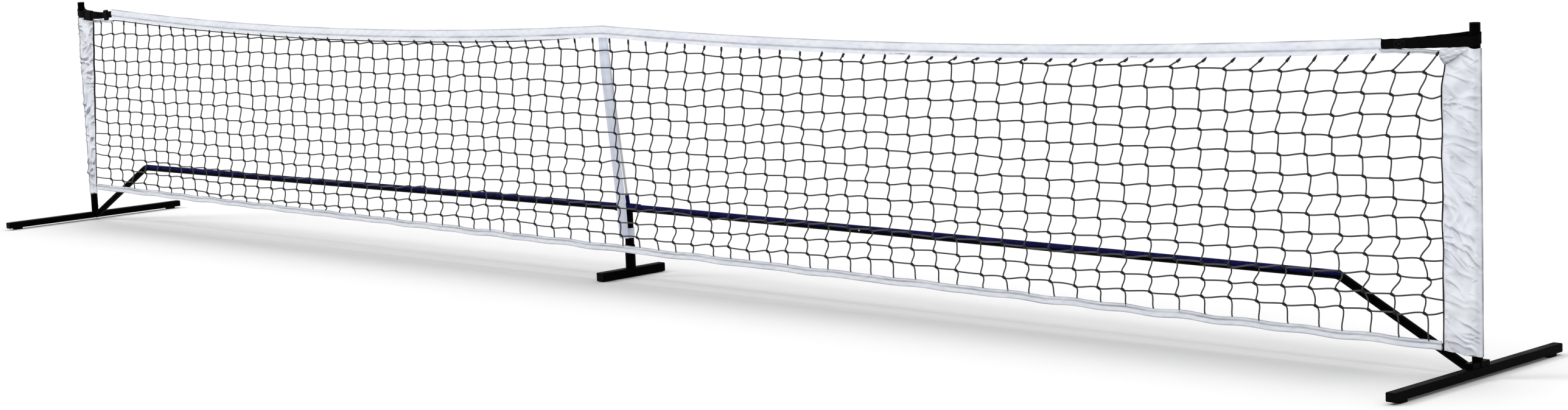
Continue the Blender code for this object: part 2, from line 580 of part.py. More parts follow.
def make_buckle(label, side):
    """A side-release buckle: a male plate with two sprung prongs that catch in the female's side windows."""
    middle = 0.0950
    place = strap_frame(side, middle, BUCKLE_Y)
    half = BUCKLE_THICK / 2
    inner = half - 0.0017
    wide = WEB_WIDTH / 2 + 0.0022

    def at(reach):
        return reach - middle

    bm = bmesh.new()
    outline = [(at(MOUTH), -0.0190), (at(MOUTH) + 0.003, -BUCKLE_HALF), (at(FEMALE_BAR) - 0.002, -BUCKLE_HALF)]
    outline += [(at(FEMALE_BAR + BAR_HALF), -BUCKLE_HALF + 0.003)]
    outline += [(x, -z) for x, z in reversed(outline)]
    add_prism(bm, outline, half, place)
    female = part(f"buckle_female_{label}", "black_plastic", bm)
    hollow = bmesh.new()
    add_box(hollow, (at(MOUTH) - 0.002, -inner, -0.0170), (at(0.1055), inner, 0.0170), place)
    combine(female, hollow, f"buckle_socket_{label}")
    windows = bmesh.new()
    for z in (-0.0195, 0.0195):
        add_box(windows, (at(0.0900), -inner + 0.0001, z - 0.004), (at(0.1015), inner - 0.0001, z + 0.004), place)
    combine(female, windows, f"buckle_windows_{label}")
    slots = bmesh.new()
    add_box(slots, (at(0.1150), -half - 0.001, -wide), (at(FEMALE_BAR - BAR_HALF), half + 0.001, wide), place)
    combine(female, slots, f"female_slot_{label}")
    slots = bmesh.new()
    for y in (-half - 0.001, BAR_HALF):
        low = (at(FEMALE_BAR) - 0.0025, y, -wide)
        add_box(slots, low, (at(FEMALE_BAR) + 0.004, y + half + 0.001 - BAR_HALF, wide), place)
    combine(female, slots, f"female_bar_{label}")

    bm = bmesh.new()
    outline = [(at(MALE_BAR - BAR_HALF), -0.0185), (at(MALE_BAR) + 0.001, -BUCKLE_HALF), (at(SHOULDER[1]), -0.0205)]
    outline += [(at(SHOULDER[1]), -0.0050), (at(0.1035), -0.0040)]
    outline += [(x, -z) for x, z in reversed(outline)]
    add_prism(bm, outline, half, place)
    male = part(f"buckle_male_{label}", "black_plastic", bm)
    slots = bmesh.new()
    add_box(slots, (at(MALE_BAR + BAR_HALF), -half - 0.001, -wide), (at(SHOULDER[0]), half + 0.001, wide), place)
    combine(male, slots, f"male_slot_{label}")
    slots = bmesh.new()
    for y in (-half - 0.001, BAR_HALF):
        low = (at(MALE_BAR) - 0.004, y, -wide)
        add_box(slots, low, (at(MALE_BAR) + 0.0025, y + half + 0.001 - BAR_HALF, wide), place)
    for y in (-half - 0.001, inner - 0.0005):
        low = (at(SHOULDER[1]) + 0.0001, y, -0.010)
        add_box(slots, low, (at(0.1045), y + half + 0.0015 - inner, 0.010), place)
    combine(male, slots, f"male_bar_{label}")

    for end, turn in (("upper", 1), ("lower", -1)):
        corners = [(0.0825, 0.0090), (0.0825, 0.0125), (0.0912, 0.0145), (0.0917, 0.0205), (0.0985, 0.0193)]
        corners += [(0.1005, 0.0130), (0.0985, 0.0113)]
        bm = bmesh.new()
        add_prism(bm, [(at(reach), turn * z) for reach, z in corners], inner - 0.0006, place)
        hinge = place @ Vector((at(0.0832), 0, turn * 0.0107))
        part(f"buckle_prong_{end}_{label}", "black_plastic", bm, hinge)


def make_slide(label, side):
    """The strap slide: a frame whose two slots each pass one layer of webbing."""
    place = strap_frame(side, SLIDE_AT, 0)
    turn = place.inverted() @ strap_point(side, SLIDE_AT, 1)
    facing = 1 if turn.y > 0 else -1
    slot = WEB_THICK / 2 + 0.0005
    low, high = FRONT_WEB_Y - slot - 0.0015, BACK_WEB_Y + slot + 0.0015
    bm = bmesh.new()
    corner = 0.003
    outline = [(-SLIDE_HALF_LENGTH, -SLIDE_HALF + corner), (-SLIDE_HALF_LENGTH + corner, -SLIDE_HALF)]
    outline += [(-x, z) for x, z in reversed(outline)]
    outline += [(x, -z) for x, z in reversed(outline)]
    shift = Matrix.Translation((0, facing * (low + high) / 2, 0))
    add_prism(bm, outline, (high - low) / 2, place @ shift)
    slide = part(f"strap_slide_{label}", "black_plastic", bm, place @ Vector((0, facing * (low + high) / 2, 0)))
    slots = bmesh.new()
    for y in (FRONT_WEB_Y, BACK_WEB_Y):
        box_low = (-SLIDE_HALF_LENGTH - 0.002, facing * y - slot, -WEB_WIDTH / 2 - 0.001)
        add_box(slots, box_low, (SLIDE_HALF_LENGTH + 0.002, facing * y + slot, WEB_WIDTH / 2 + 0.001), place)
    combine(slide, slots, f"slide_slots_{label}")


def main():
    for old in list(bpy.data.objects):
        bpy.data.objects.remove(old)
    feet = make_feet()
    inner_tubes = {label: make_side_frame(label, side, feet[label]) for label, side in SIDES.items()}
    make_centre(inner_tubes, feet["centre"])
    make_net()
    make_centre_band()
    make_buckled_straps("left", -1)
    make_buckle("left", -1)
    make_slide("left", -1)
    make_plain_strap("right", 1)


main()
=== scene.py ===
"""The look of the portable net: knotted cords, sewn tapes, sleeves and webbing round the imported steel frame.

Metres, +Z up. X runs along the net, -Y is the front and the origin is on the floor, midway between the posts.
The steel, plastic and rubber nodes keep their shapes and get finishes. Every soft node is replaced by a sewn,
woven or knotted piece that lies where the node lies.
"""

import math

import bpy
import numpy as np
from mathutils import Matrix, Vector


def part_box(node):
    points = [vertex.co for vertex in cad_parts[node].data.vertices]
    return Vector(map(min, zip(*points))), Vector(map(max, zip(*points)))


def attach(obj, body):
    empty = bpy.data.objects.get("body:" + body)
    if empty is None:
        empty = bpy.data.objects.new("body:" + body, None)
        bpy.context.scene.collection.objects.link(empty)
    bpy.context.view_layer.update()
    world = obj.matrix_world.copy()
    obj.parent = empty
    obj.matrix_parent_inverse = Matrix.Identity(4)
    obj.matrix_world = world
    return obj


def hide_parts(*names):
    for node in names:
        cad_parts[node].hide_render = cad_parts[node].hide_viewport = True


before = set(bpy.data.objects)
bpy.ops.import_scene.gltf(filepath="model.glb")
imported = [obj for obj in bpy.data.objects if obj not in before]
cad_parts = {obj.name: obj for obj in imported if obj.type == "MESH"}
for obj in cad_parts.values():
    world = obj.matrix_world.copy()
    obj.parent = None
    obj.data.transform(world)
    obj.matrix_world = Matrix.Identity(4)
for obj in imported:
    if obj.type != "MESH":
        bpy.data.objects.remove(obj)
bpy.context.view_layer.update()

SIDES = {"left": -1, "right": 1}
BODY = "frame"

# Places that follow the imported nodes
HALF_SPAN = (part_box("post_right")[0][0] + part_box("post_right")[1][0]) / 2
POST_R = (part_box("post_right")[1][0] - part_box("post_right")[0][0]) / 2
TAPE_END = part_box("top_tape")[1][0]
NET_Y = (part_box("net")[0][1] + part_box("net")[1][1]) / 2
SLEEVE_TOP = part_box("side_sleeve_right")[1][2]
SLEEVE_FOOT = {side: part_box(f"side_sleeve_{label}")[0][2] for label, side in SIDES.items()}
HEM_END = {-1: -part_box("bottom_tape")[0][0], 1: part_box("bottom_tape")[1][0]}

# Tapes
TAPE_DEPTH, HEM_DEPTH = 0.041, 0.025
TAPE_CENTRE_Z = 0.881
TAPE_POST_Z = {-1: 0.926, 1: 0.904}
TAPE_SAG = {-1: 0.051, 1: 0.043}
HEM_Z, HEM_TILT = 0.1120, -0.0097
TOP_SEAM, HEM_SEAM = 0.0275, 0.0175
PLY = 0.0009

# Net
COLUMNS, ROWS, PITCH = 72, 13, 0.0895
ROWS_CLOSER_LOW = 0.09
RIGHT_STRETCH = 0.036
# Heights of the lowest and the highest row of knots, (x, lowest, highest)
ROW_HEIGHTS = (
    (-3.2, 0.182, 0.801),
    (-2.2, 0.159, 0.806),
    (-1.4, 0.160, 0.797),
    (-0.6, 0.172, 0.798),
    (0.4, 0.150, 0.790),
    (1.2, 0.162, 0.784),
    (2.0, 0.142, 0.795),
    (2.8, 0.152, 0.796),
    (3.2, 0.160, 0.801),
)
CORD_R, KNOT_CORD_R, BORDER_R = 0.00240, 0.00265, 0.0021
# From a knot's middle to its end at the lower right
KNOT_HALF = np.array([0.0050, 0, -0.0024])
# Reach of the cords into the tapes, and the furthest places where a column's top can be tied
TUCKED_IN = 0.004
TIED_WITHIN = (-3.225, 3.256)
# Ends of the net between top tape and sleeve: height of a cord's end and of the rope in its strip
STRIP_CORD_Z, STRIP_ROPE_Z = 0.8535, 0.8590
ROPE_CORNER_Z = 0.857

# Sleeves: radius round the post, greatest height of a fold, and reach of the inner edge from the post's axis
# at the foot and at the top
SLEEVE_R, FOLD_HEIGHT = POST_R + 0.0029, 0.0085
SLEEVE_REACH = {-1: (0.050, 0.118), 1: (0.087, 0.087)}
NOTCH_Z, NOTCH_START, NOTCH_DEPTH = 0.825, 0.760, 0.011

# Centre band
BAND_WIDTH, BAND_LENGTH = 0.047, 0.760

# Tension straps: heights of the front layer at the post and at the tape, rise of the back layer over it,
# and, from the post's axis, where the layers meet and where the webbing ends in the tape
WEB_WIDTH, WEB_THICK = 0.027, 0.0014
STRAP_POST_Z = {-1: 0.8895, 1: 0.8845}
STRAP_TAPE_Z = {-1: 0.8865, 1: 0.8735}
STRAP_RISE = {-1: 0.011, 1: 0.014}
LAYERS_MEET = {-1: 0.185, 1: 0.230}
STRAP_SAG = {-1: 0.009, 1: 0.001}
SEWN_AT = 0.300
BUCKLE_Y, MALE_BAR, FEMALE_BAR, WRAP_R = -0.0258, 0.0640, 0.1250, 0.0037
FRONT_WEB_Y, BACK_WEB_Y, PLAIN_FRONT_Y = -0.0205, -0.0165, -0.0195


def tape_top(x):
    """Height of the top tape's upper edge."""
    side = np.where(x < 0, -1, 1)
    share = np.abs(x) / HALF_SPAN
    post_z = np.where(side < 0, TAPE_POST_Z[-1], TAPE_POST_Z[1])
    sag = np.where(side < 0, TAPE_SAG[-1], TAPE_SAG[1])
    return TAPE_CENTRE_Z + (post_z - TAPE_CENTRE_Z) * share - sag * 4 * share * (1 - share)


def hem_middle(x):
    return HEM_Z + HEM_TILT * x


def sleeve_reach(side, z):
    """Distance of a sleeve's inner edge from the post's axis.

    The right sleeve draws in to a notch near its top.
    """
    low, high = SLEEVE_REACH[side]
    straight = low + (high - low) * (z - SLEEVE_FOOT[side]) / (SLEEVE_TOP - SLEEVE_FOOT[side])
    return straight - (NOTCH_DEPTH * smooth_step(NOTCH_START, NOTCH_Z, z) if side > 0 else 0)


# ---------------------------------------------------------------- relief


def smooth_step(start, end, value):
    share = np.clip((value - start) / (end - start), 0, 1)
    return share * share * (3 - 2 * share)


def ripple(seed, x, z, long_x, long_z, waves=7):
    """Smooth random relief of about -1 to 1: plane waves whose lengths are near long_x and long_z."""
    draw = np.random.default_rng(seed)
    total = 0.0
    for _ in range(waves):
        turns_x = draw.uniform(0.6, 1.5) / long_x * draw.choice((-1, 1))
        turns_z = draw.uniform(0.6, 1.5) / long_z
        total = total + np.sin(2 * math.pi * (turns_x * x + turns_z * z + draw.random()))
    return total / math.sqrt(waves)


def creases(seed, x, z, box, count, slant, length, width):
    """Folds in cloth: each a raised ridge with a hollow on one side, at a random place in box.

    slant is the mean rise of a fold per metre of x; length and width are ranges in metres.
    """
    draw = np.random.default_rng(seed)
    (low_x, low_z), (high_x, high_z) = box
    total = np.zeros(np.broadcast(x, z).shape)
    for _ in range(count):
        middle_x, middle_z = draw.uniform(low_x, high_x), draw.uniform(low_z, high_z)
        angle = math.atan(slant) + draw.normal(0, 0.28)
        reach, wide = draw.uniform(*length), draw.uniform(*width)
        bend = draw.normal(0, 0.25) / reach
        along = (x - middle_x) * math.cos(angle) + (z - middle_z) * math.sin(angle)
        across = -(x - middle_x) * math.sin(angle) + (z - middle_z) * math.cos(angle) + bend * along**2
        fade = np.exp(-((along / reach) ** 2) * 2)
        fold = np.exp(-((across / wide) ** 2)) - 0.8 * np.exp(-(((across + 1.3 * wide) / wide) ** 2))
        total += fold * fade * draw.uniform(0.5, 1.0)
    return total


def crumple(seed, x, z, size, slant, stretch=2.6):
    """Facets with sharp ridges between them, as in stiff coated cloth, of about -1 to 1."""
    angle = math.atan(slant)
    along = x * math.cos(angle) + z * math.sin(angle)
    across = -x * math.sin(angle) + z * math.cos(angle)
    across = across + 0.25 * size * ripple(seed + 100, along, across, size * 2, size * 2)
    return 1 - 2 * np.minimum(np.abs(ripple(seed, along, across, size * stretch, size)), 1)


# ---------------------------------------------------------------- meshes


def unit(vectors):
    return vectors / np.linalg.norm(vectors, axis=-1, keepdims=True)


def along_lengths(path):
    steps = np.linalg.norm(np.diff(path, axis=0), axis=1)
    return np.concatenate([[0], np.cumsum(steps)])


def circle(radius, sides):
    turns = 2 * math.pi * np.arange(sides) / sides
    return radius * np.stack([np.cos(turns), np.sin(turns)], -1)


class Shape:
    """Collects closed swept solids, with a map in metres: across the section, then along the path."""

    def __init__(self):
        self.points, self.faces, self.maps, self.size = [], [], [], 0

    def sweep(self, rings, across=None, along=None):
        """Skins rings of points, shaped (rings, sides, 3), and closes both ends."""
        count, sides = rings.shape[:2]
        if across is None:
            around = np.linalg.norm(np.roll(rings[0], -1, 0) - rings[0], axis=1)
            across = np.concatenate([[0], np.cumsum(around)])
        if along is None:
            along = along_lengths(rings.mean(1))
        r, s = np.meshgrid(np.arange(count - 1), np.arange(sides), indexing="ij")
        corners = [(r, s), (r, s + 1), (r + 1, s + 1), (r + 1, s)]
        quads = np.stack([i * sides + j % sides for i, j in corners], -1).reshape(-1, 4)
        maps = np.stack([np.stack([across[j], along[i]], -1) for i, j in corners], -2).reshape(-1, 4, 2)
        flat = rings.reshape(-1, 3)
        p = (flat - flat.mean(0))[quads]
        volume = np.einsum("ij,ij->i", p[:, 0], np.cross(p[:, 1], p[:, 2]) + np.cross(p[:, 2], p[:, 3])).sum()
        start, end = np.arange(sides)[::-1], (count - 1) * sides + np.arange(sides)
        start_map = np.stack([across[:sides][::-1], np.full(sides, along[0])], -1)
        end_map = np.stack([across[:sides], np.full(sides, along[-1])], -1)
        if volume < 0:
            quads, maps = quads[:, ::-1], maps[:, ::-1]
            start, end, start_map, end_map = start[::-1], end[::-1], start_map[::-1], end_map[::-1]
        self.faces += (quads + self.size).tolist()
        self.faces += [(start + self.size).tolist(), (end + self.size).tolist()]
        self.maps += [maps.reshape(-1, 2), start_map, end_map]
        self.points.append(flat)
        self.size += len(flat)

    def strand(self, path, section, facing):
        """Sweeps a section (across, facing) along a path. facing is a direction, or one for each point."""
        ahead = unit(np.gradient(path, axis=0))
        across = unit(np.cross(ahead, facing))
        up = np.cross(across, ahead)
        section = np.broadcast_to(section, (len(path), *section.shape[-2:]))
        rings = path[:, None] + across[:, None] * section[..., :1] + up[:, None] * section[..., 1:]
        self.sweep(rings)

    def piece(self, name, finish, slot, *nodes, shade=None):
        """Makes the object, which rides on the frame and stands for the CAD nodes named.

        shade is the painted shade at each point, from 0 to 1, for the finishes that show it.
        """
        mesh = bpy.data.meshes.new(name)
        mesh.from_pydata(np.concatenate(self.points).tolist(), [], self.faces)
        layer = mesh.uv_layers.new(name="Weave")
        layer.data.foreach_set("uv", np.concatenate(self.maps).astype(np.float32).ravel())
        mesh.shade_smooth()
        mesh.set_sharp_from_angle(angle=math.radians(50))
        mesh.materials.append(finish)
        if shade is not None:
            # The Shade attribute carries painted shade, which darkens the coated cloth.
            painted_shade_layer = mesh.attributes.new("Shade", "FLOAT", "POINT")
            painted_shade_layer.data.foreach_set("value", np.ravel(shade).astype(np.float32))
        made = bpy.data.objects.new(name, mesh)
        bpy.context.scene.collection.objects.link(made)
        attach(made, BODY)
        if nodes:
            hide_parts(*nodes)
        return made


# ---------------------------------------------------------------- finishes


# Scale of a wave texture with one stripe a metre
STRIPE_A_METRE = 0.314159


class Finish:
    """A material with short calls for the nodes that its pattern is made of."""

    def __init__(self, name, **sockets):
        self.material = bpy.data.materials.new(name)
        self.material.use_nodes = True
        self.tree = self.material.node_tree
        self.shader = self.tree.nodes["Principled BSDF"]
        self.normal = None
        for socket, value in sockets.items():
            self.set(socket.replace("_", " "), value)

    def set(self, socket, value):
        if isinstance(value, bpy.types.NodeSocket):
            self.tree.links.new(value, self.shader.inputs[socket])
        else:
            self.shader.inputs[socket].default_value = value

    def node(self, kind, inputs, output=0, **settings):
        made = self.tree.nodes.new(kind)
        for setting, value in settings.items():
            setattr(made, setting, value)
        for socket, value in inputs.items():
            if isinstance(value, bpy.types.NodeSocket):
                self.tree.links.new(value, made.inputs[socket])
            else:
                made.inputs[socket].default_value = value
        return made.outputs[output]

    def place(self, scale=(1, 1, 1), mapped=False):
        """Coordinates to draw on: the object's, or the piece's own map, stretched by scale."""
        if mapped:
            source = self.node("ShaderNodeUVMap", {}, uv_map="Weave")
        else:
            source = self.node("ShaderNodeTexCoord", {}, output="Object")
        return self.node("ShaderNodeMapping", {"Vector": source, "Scale": scale})

    def noise(self, scale, detail=3.0, stretch=(1, 1, 1)):
        inputs = {"Vector": self.place(stretch), "Scale": scale, "Detail": detail, "Roughness": 0.55}
        return self.node("ShaderNodeTexNoise", inputs)

    def wave(self, pitch, direction="X", distortion=0.0):
        """Stripes with a pitch in metres, on the piece's own map."""
        place = self.place(mapped=True)
        inputs = {"Vector": place, "Scale": STRIPE_A_METRE / pitch, "Distortion": distortion}
        return self.node("ShaderNodeTexWave", inputs, bands_direction=direction)

    def span(self, value, low, high, to_low=0.0, to_high=1.0):
        inputs = {"Value": value, "From Min": low, "From Max": high, "To Min": to_low, "To Max": to_high}
        return self.node("ShaderNodeMapRange", inputs)

    def maths(self, operation, first, second=0.0):
        return self.node("ShaderNodeMath", {0: first, 1: second}, operation=operation)

    def tint(self, share, first, second):
        """A colour between two colours, or colour sockets."""
        inputs = {0: share, 6: first, 7: second}
        return self.node("ShaderNodeMix", inputs, output=2, data_type="RGBA")

    def bump(self, height, strength, distance):
        inputs = {"Height": height, "Strength": strength, "Distance": distance}
        if self.normal:
            inputs["Normal"] = self.normal
        self.normal = self.node("ShaderNodeBump", inputs)
        self.set("Normal", self.normal)


def grey(value, blue=0.0):
    return (value, value, value + blue, 1.0)


def powder_coat(name, painted_highlight_colour, painted_highlight_z=None):
    """Black powder coat with fine orange peel and rubbed, dusty patches.

    Upward faces get a painted highlight in another colour, or where a height is given, everything above that
    height does.
    """
    made = Finish(name, Metallic=0.0, Specular_IOR_Level=0.010)
    patches = made.span(made.noise(9.0, 4.0), 0.42, 0.72)
    specks = made.span(made.noise(900.0, 2.0), 0.60, 0.75)
    wear_and_shade_mottle = made.maths("MULTIPLY", patches, specks)
    base = made.tint(patches, (0.0008, 0.0008, 0.0011, 1), (0.0016, 0.0016, 0.0022, 1))
    # Painted highlight: the upper side is lighter, or another colour, where light from above falls on it.
    if painted_highlight_z:
        place = made.node("ShaderNodeTexCoord", {}, output=3)
        height = made.node("ShaderNodeSeparateXYZ", {0: place}, output=2)
        painted_highlight_share = made.span(height, painted_highlight_z - 0.0020, painted_highlight_z + 0.0030)
    else:
        normal = made.node("ShaderNodeNewGeometry", {}, output=1)
        facing = made.node("ShaderNodeSeparateXYZ", {0: normal}, output=2)
        painted_highlight_share = made.span(facing, 0.05, 0.75)
    mottle = made.span(made.noise(45.0, 5.0), 0.35, 0.65, 0.35, 1.0)
    base = made.tint(made.maths("MULTIPLY", painted_highlight_share, mottle), base, painted_highlight_colour)
    made.set("Base Color", made.tint(wear_and_shade_mottle, base, (0.010, 0.010, 0.014, 1)))
    made.set("Roughness", made.span(patches, 0, 1, 0.34, 0.48))
    made.bump(made.noise(1400.0, 2.0), 0.18, 0.0004)
    return made.material


def moulded(name, colour, rough, grain, depth):
    """Moulded plastic or rubber with a fine grain."""
    made = Finish(name, Specular_IOR_Level=0.030)
    patches = made.span(made.noise(35.0, 4.0), 0.35, 0.70)
    made.set("Base Color", made.tint(patches, colour, tuple(c * 1.7 for c in colour[:3]) + (1,)))
    made.set("Roughness", made.span(patches, 0, 1, rough, rough + 0.14))
    made.bump(made.noise(grain, 2.0), 0.35, depth)
    return made.material


def spring_steel():
    made = Finish("spring_steel", Metallic=1.0)
    streaks = made.noise(60.0, 4.0, (1, 1, 18))
    made.set("Base Color", made.tint(streaks, (0.42, 0.42, 0.44, 1), (0.66, 0.66, 0.67, 1)))
    made.set("Roughness", made.span(streaks, 0.3, 0.7, 0.18, 0.36))
    made.bump(streaks, 0.1, 0.0003)
    return made.material


def glass_fibre():
    made = Finish("glass_fibre", Specular_IOR_Level=0.5)
    strands = made.noise(700.0, 3.0, (1, 1, 0.02))
    made.set("Base Color", made.tint(strands, (0.50, 0.51, 0.50, 1), (0.80, 0.80, 0.77, 1)))
    made.set("Roughness", made.span(strands, 0.3, 0.7, 0.22, 0.42))
    made.bump(strands, 0.25, 0.0004)
    return made.material


def coated_cloth():
    """White coated cloth: a plain weave that shows faintly through the coating, with painted shade in its
    folds.
    """
    made = Finish("coated_cloth", Specular_IOR_Level=0.40, Sheen_Weight=0.15)
    made.set("Sheen Roughness", 0.4)
    warp = made.wave(0.00085, "X")
    weft = made.wave(0.00085, "Y")
    weave = made.maths("MULTIPLY", warp, weft)
    clouds = made.span(made.noise(11.0, 4.0), 0.35, 0.68)
    smudges = made.span(made.noise(60.0, 5.0), 0.55, 0.80)
    cloth = made.tint(clouds, (0.91, 0.935, 0.985, 1), (0.815, 0.845, 0.935, 1))
    cloth = made.tint(made.maths("MULTIPLY", smudges, 0.25), cloth, (0.70, 0.74, 0.80, 1))
    cloth = made.tint(made.maths("MULTIPLY", weave, 0.06), cloth, (0.62, 0.65, 0.73, 1))
    # Painted shade: the Shade attribute darkens the cloth in its folds, creases and seams.
    shade = made.node("ShaderNodeAttribute", {}, output=2, attribute_name="Shade")
    made.set("Base Color", made.tint(shade, cloth, (0.075, 0.085, 0.105, 1)))
    made.set("Roughness", made.span(clouds, 0, 1, 0.42, 0.58))
    made.bump(weave, 0.30, 0.0004)
    made.bump(made.noise(140.0, 4.0), 0.25, 0.0012)
    return made.material


def band_webbing():
    """Thin white webbing: lengthwise ribs crossed by ladder-like picks."""
    made = Finish("band_webbing", Specular_IOR_Level=0.3, Sheen_Weight=0.2, Alpha=0.84)
    ribs = made.wave(0.0030, "X")
    picks = made.wave(0.0042, "Y", distortion=0.6)
    weave = made.maths("MULTIPLY", ribs, picks)
    edges = made.wave(0.0250, "X")
    base = made.tint(picks, (0.74, 0.79, 0.97, 1), (0.90, 0.93, 0.99, 1))
    made.set("Base Color", made.tint(made.maths("MULTIPLY", edges, 0.18), base, (0.50, 0.57, 0.84, 1)))
    made.set("Roughness", made.span(weave, 0, 1, 0.62, 0.80))
    made.bump(weave, 0.6, 0.0006)
    return made.material


def black_webbing():
    """Black polypropylene webbing: fine herringbone ribs, duller in the hollows."""
    made = Finish("black_webbing", Specular_IOR_Level=0.030, Sheen_Weight=0.0)
    ribs = made.wave(0.0021, "X")
    picks = made.wave(0.0014, "Y", distortion=1.2)
    weave = made.maths("MULTIPLY", ribs, picks)
    fuzz = made.noise(500.0, 3.0)
    made.set("Base Color", made.tint(weave, (0.0012, 0.0012, 0.0015, 1), (0.0045, 0.0045, 0.0052, 1)))
    made.set("Roughness", made.span(fuzz, 0.3, 0.7, 0.62, 0.85))
    made.bump(weave, 0.7, 0.0007)
    made.bump(fuzz, 0.3, 0.0003)
    return made.material


def twisted_cord(name, dark, light, pitch):
    """Twine laid up from strands, which run round the cord as they run along it."""
    made = Finish(name, Specular_IOR_Level=0.2, Sheen_Weight=0.1)
    strands = made.wave(pitch, "DIAGONAL", distortion=0.5)
    fuzz = made.noise(300.0, 3.0)
    made.set("Base Color", made.tint(made.maths("MULTIPLY", strands, fuzz), dark, light))
    made.set("Roughness", made.span(fuzz, 0.3, 0.7, 0.55, 0.85))
    made.bump(strands, 0.8, 0.0006)
    return made.material


def sewing_thread(name, dark, light):
    made = Finish(name, Specular_IOR_Level=0.3, Sheen_Weight=0.1)
    twist = made.wave(0.0006, "DIAGONAL")
    made.set("Base Color", made.tint(twist, dark, light))
    made.set("Roughness", made.span(twist, 0, 1, 0.55, 0.7))
    made.bump(twist, 0.4, 0.0002)
    return made.material


def finish_nodes():
    """Gives each CAD node that stays its finish, by the kind of piece it is."""
    # Both coats get a painted highlight on their upper side: a little lighter on the black bars and posts,
    # navy above the crossbar's middle height.
    black = powder_coat("black_powder_coat", (0.0022, 0.0022, 0.0030, 1))
    bar_middle = (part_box("crossbar_outer_right")[0][2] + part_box("crossbar_outer_right")[1][2]) / 2
    navy_highlight_coat = powder_coat("black_coat_navy_painted_highlight", (0.0090, 0.0100, 0.0900, 1), bar_middle)
    plastic = moulded("black_plastic", (0.0016, 0.0016, 0.0019, 1), 0.42, 2200.0, 0.0003)
    rubber = moulded("rubber", (0.0030, 0.0030, 0.0030, 1), 0.72, 900.0, 0.0006)
    spring, rod = spring_steel(), glass_fibre()
    kinds = {
        black: ("base_bar", "post_left", "post_right", "centre_leg"),
        navy_highlight_coat: ("crossbar", "centre_tee", "elbow_tube"),
        plastic: ("end_cap", "post_cap", "rod_tip", "buckle", "strap_slide"),
        rubber: ("foot_pad",),
        spring: ("post_button", "brace_button", "outer_button", "inner_button", "tee_button"),
        rod: ("centre_rod",),
    }
    for name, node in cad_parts.items():
        for finish, starts in kinds.items():
            if name.startswith(starts):
                for slot in node.material_slots:
                    slot.material = finish


# ---------------------------------------------------------------- net


def net_knots():
    """Middle of each knot, as an array of columns by rows of (x, y, z)."""
    column, row = np.meshgrid(np.arange(COLUMNS), np.arange(ROWS), indexing="ij")
    x = (column - (COLUMNS - 1) / 2) * PITCH
    x = x + RIGHT_STRETCH * smooth_step(0.8, 3.1, x)
    spots, lowest, highest = np.array(ROW_HEIGHTS).T
    share = row / (ROWS - 1)
    share = share - ROWS_CLOSER_LOW * share * (1 - share)
    z = np.interp(x, spots, lowest) * (1 - share) + np.interp(x, spots, highest) * share
    draw = np.random.default_rng(5)
    down = ROWS - 1 - row
    upper = -0.021 * np.sin(math.pi * np.clip(down, 0, 6) / 6)
    lower = np.where(row % 2 == 0, 0.007, -0.008) - 0.004 * np.maximum(2 - row, 0)
    sway = np.where(row >= 6, upper, lower) * smooth_step(2.5, 3.15, x)
    loose = 0.35 + 0.65 * smooth_step(0, ROWS, down)
    sway = sway + 0.0060 * ripple(3, x, z, 0.9, 0.25) * loose + draw.normal(0, 0.0030, x.shape) * loose
    rise = 0.0022 * ripple(4, x, z, 0.5, 0.3) + draw.normal(0, 0.0012, x.shape)
    depth = NET_Y + 0.0015 * ripple(6, x, z, 0.7, 0.2)
    return np.stack([x + sway, depth, z + rise], -1)


def curve(p0, p1, p2, p3, steps):
    """Points of a cubic curve from p0 to p3."""
    t = np.linspace(0, 1, steps)[:, None]
    return p0 * (1 - t) ** 3 + 3 * p1 * t * (1 - t) ** 2 + 3 * p2 * t**2 * (1 - t) + p3 * t**3


def offset(x=0.0, z=0.0):
    return np.array([x, 0, z])


def row_paths(knots, draw):
    """Cords along the rows, from knot to knot, and from the last knots into the sleeves."""
    start, end = knots - KNOT_HALF, knots + KNOT_HALF
    paths = []
    for row in range(ROWS):
        for column in range(COLUMNS - 1):
            a, b = end[column, row], start[column + 1, row]
            arch = draw.normal(0.0002, 0.0012)
            paths.append(curve(a, a + offset(0.026, arch), b + offset(-0.026, arch + 0.0006), b, 7))
        for side, column in ((-1, 0), (1, COLUMNS - 1)):
            knot = (start if side < 0 else end)[column, row]
            edge = side * (HALF_SPAN - sleeve_reach(side, knot[2]) - 0.002)
            far = np.array([edge, NET_Y, knot[2] + draw.normal(0.003, 0.004)])
            middle = (knot + far) / 2 + offset(0, draw.normal(-0.002, 0.003))
            paths.append(curve(knot, middle, middle, far, 6))
    return paths


def column_lean(x):
    """How far to the right of its first knot a column is tied. It is negative a little left of the middle."""
    left = smooth_step(0.2, -0.4, x) - smooth_step(-1.2, -2.2, x)
    return 0.040 * float(smooth_step(0.2, 3.1, x)) - 0.016 * float(left)


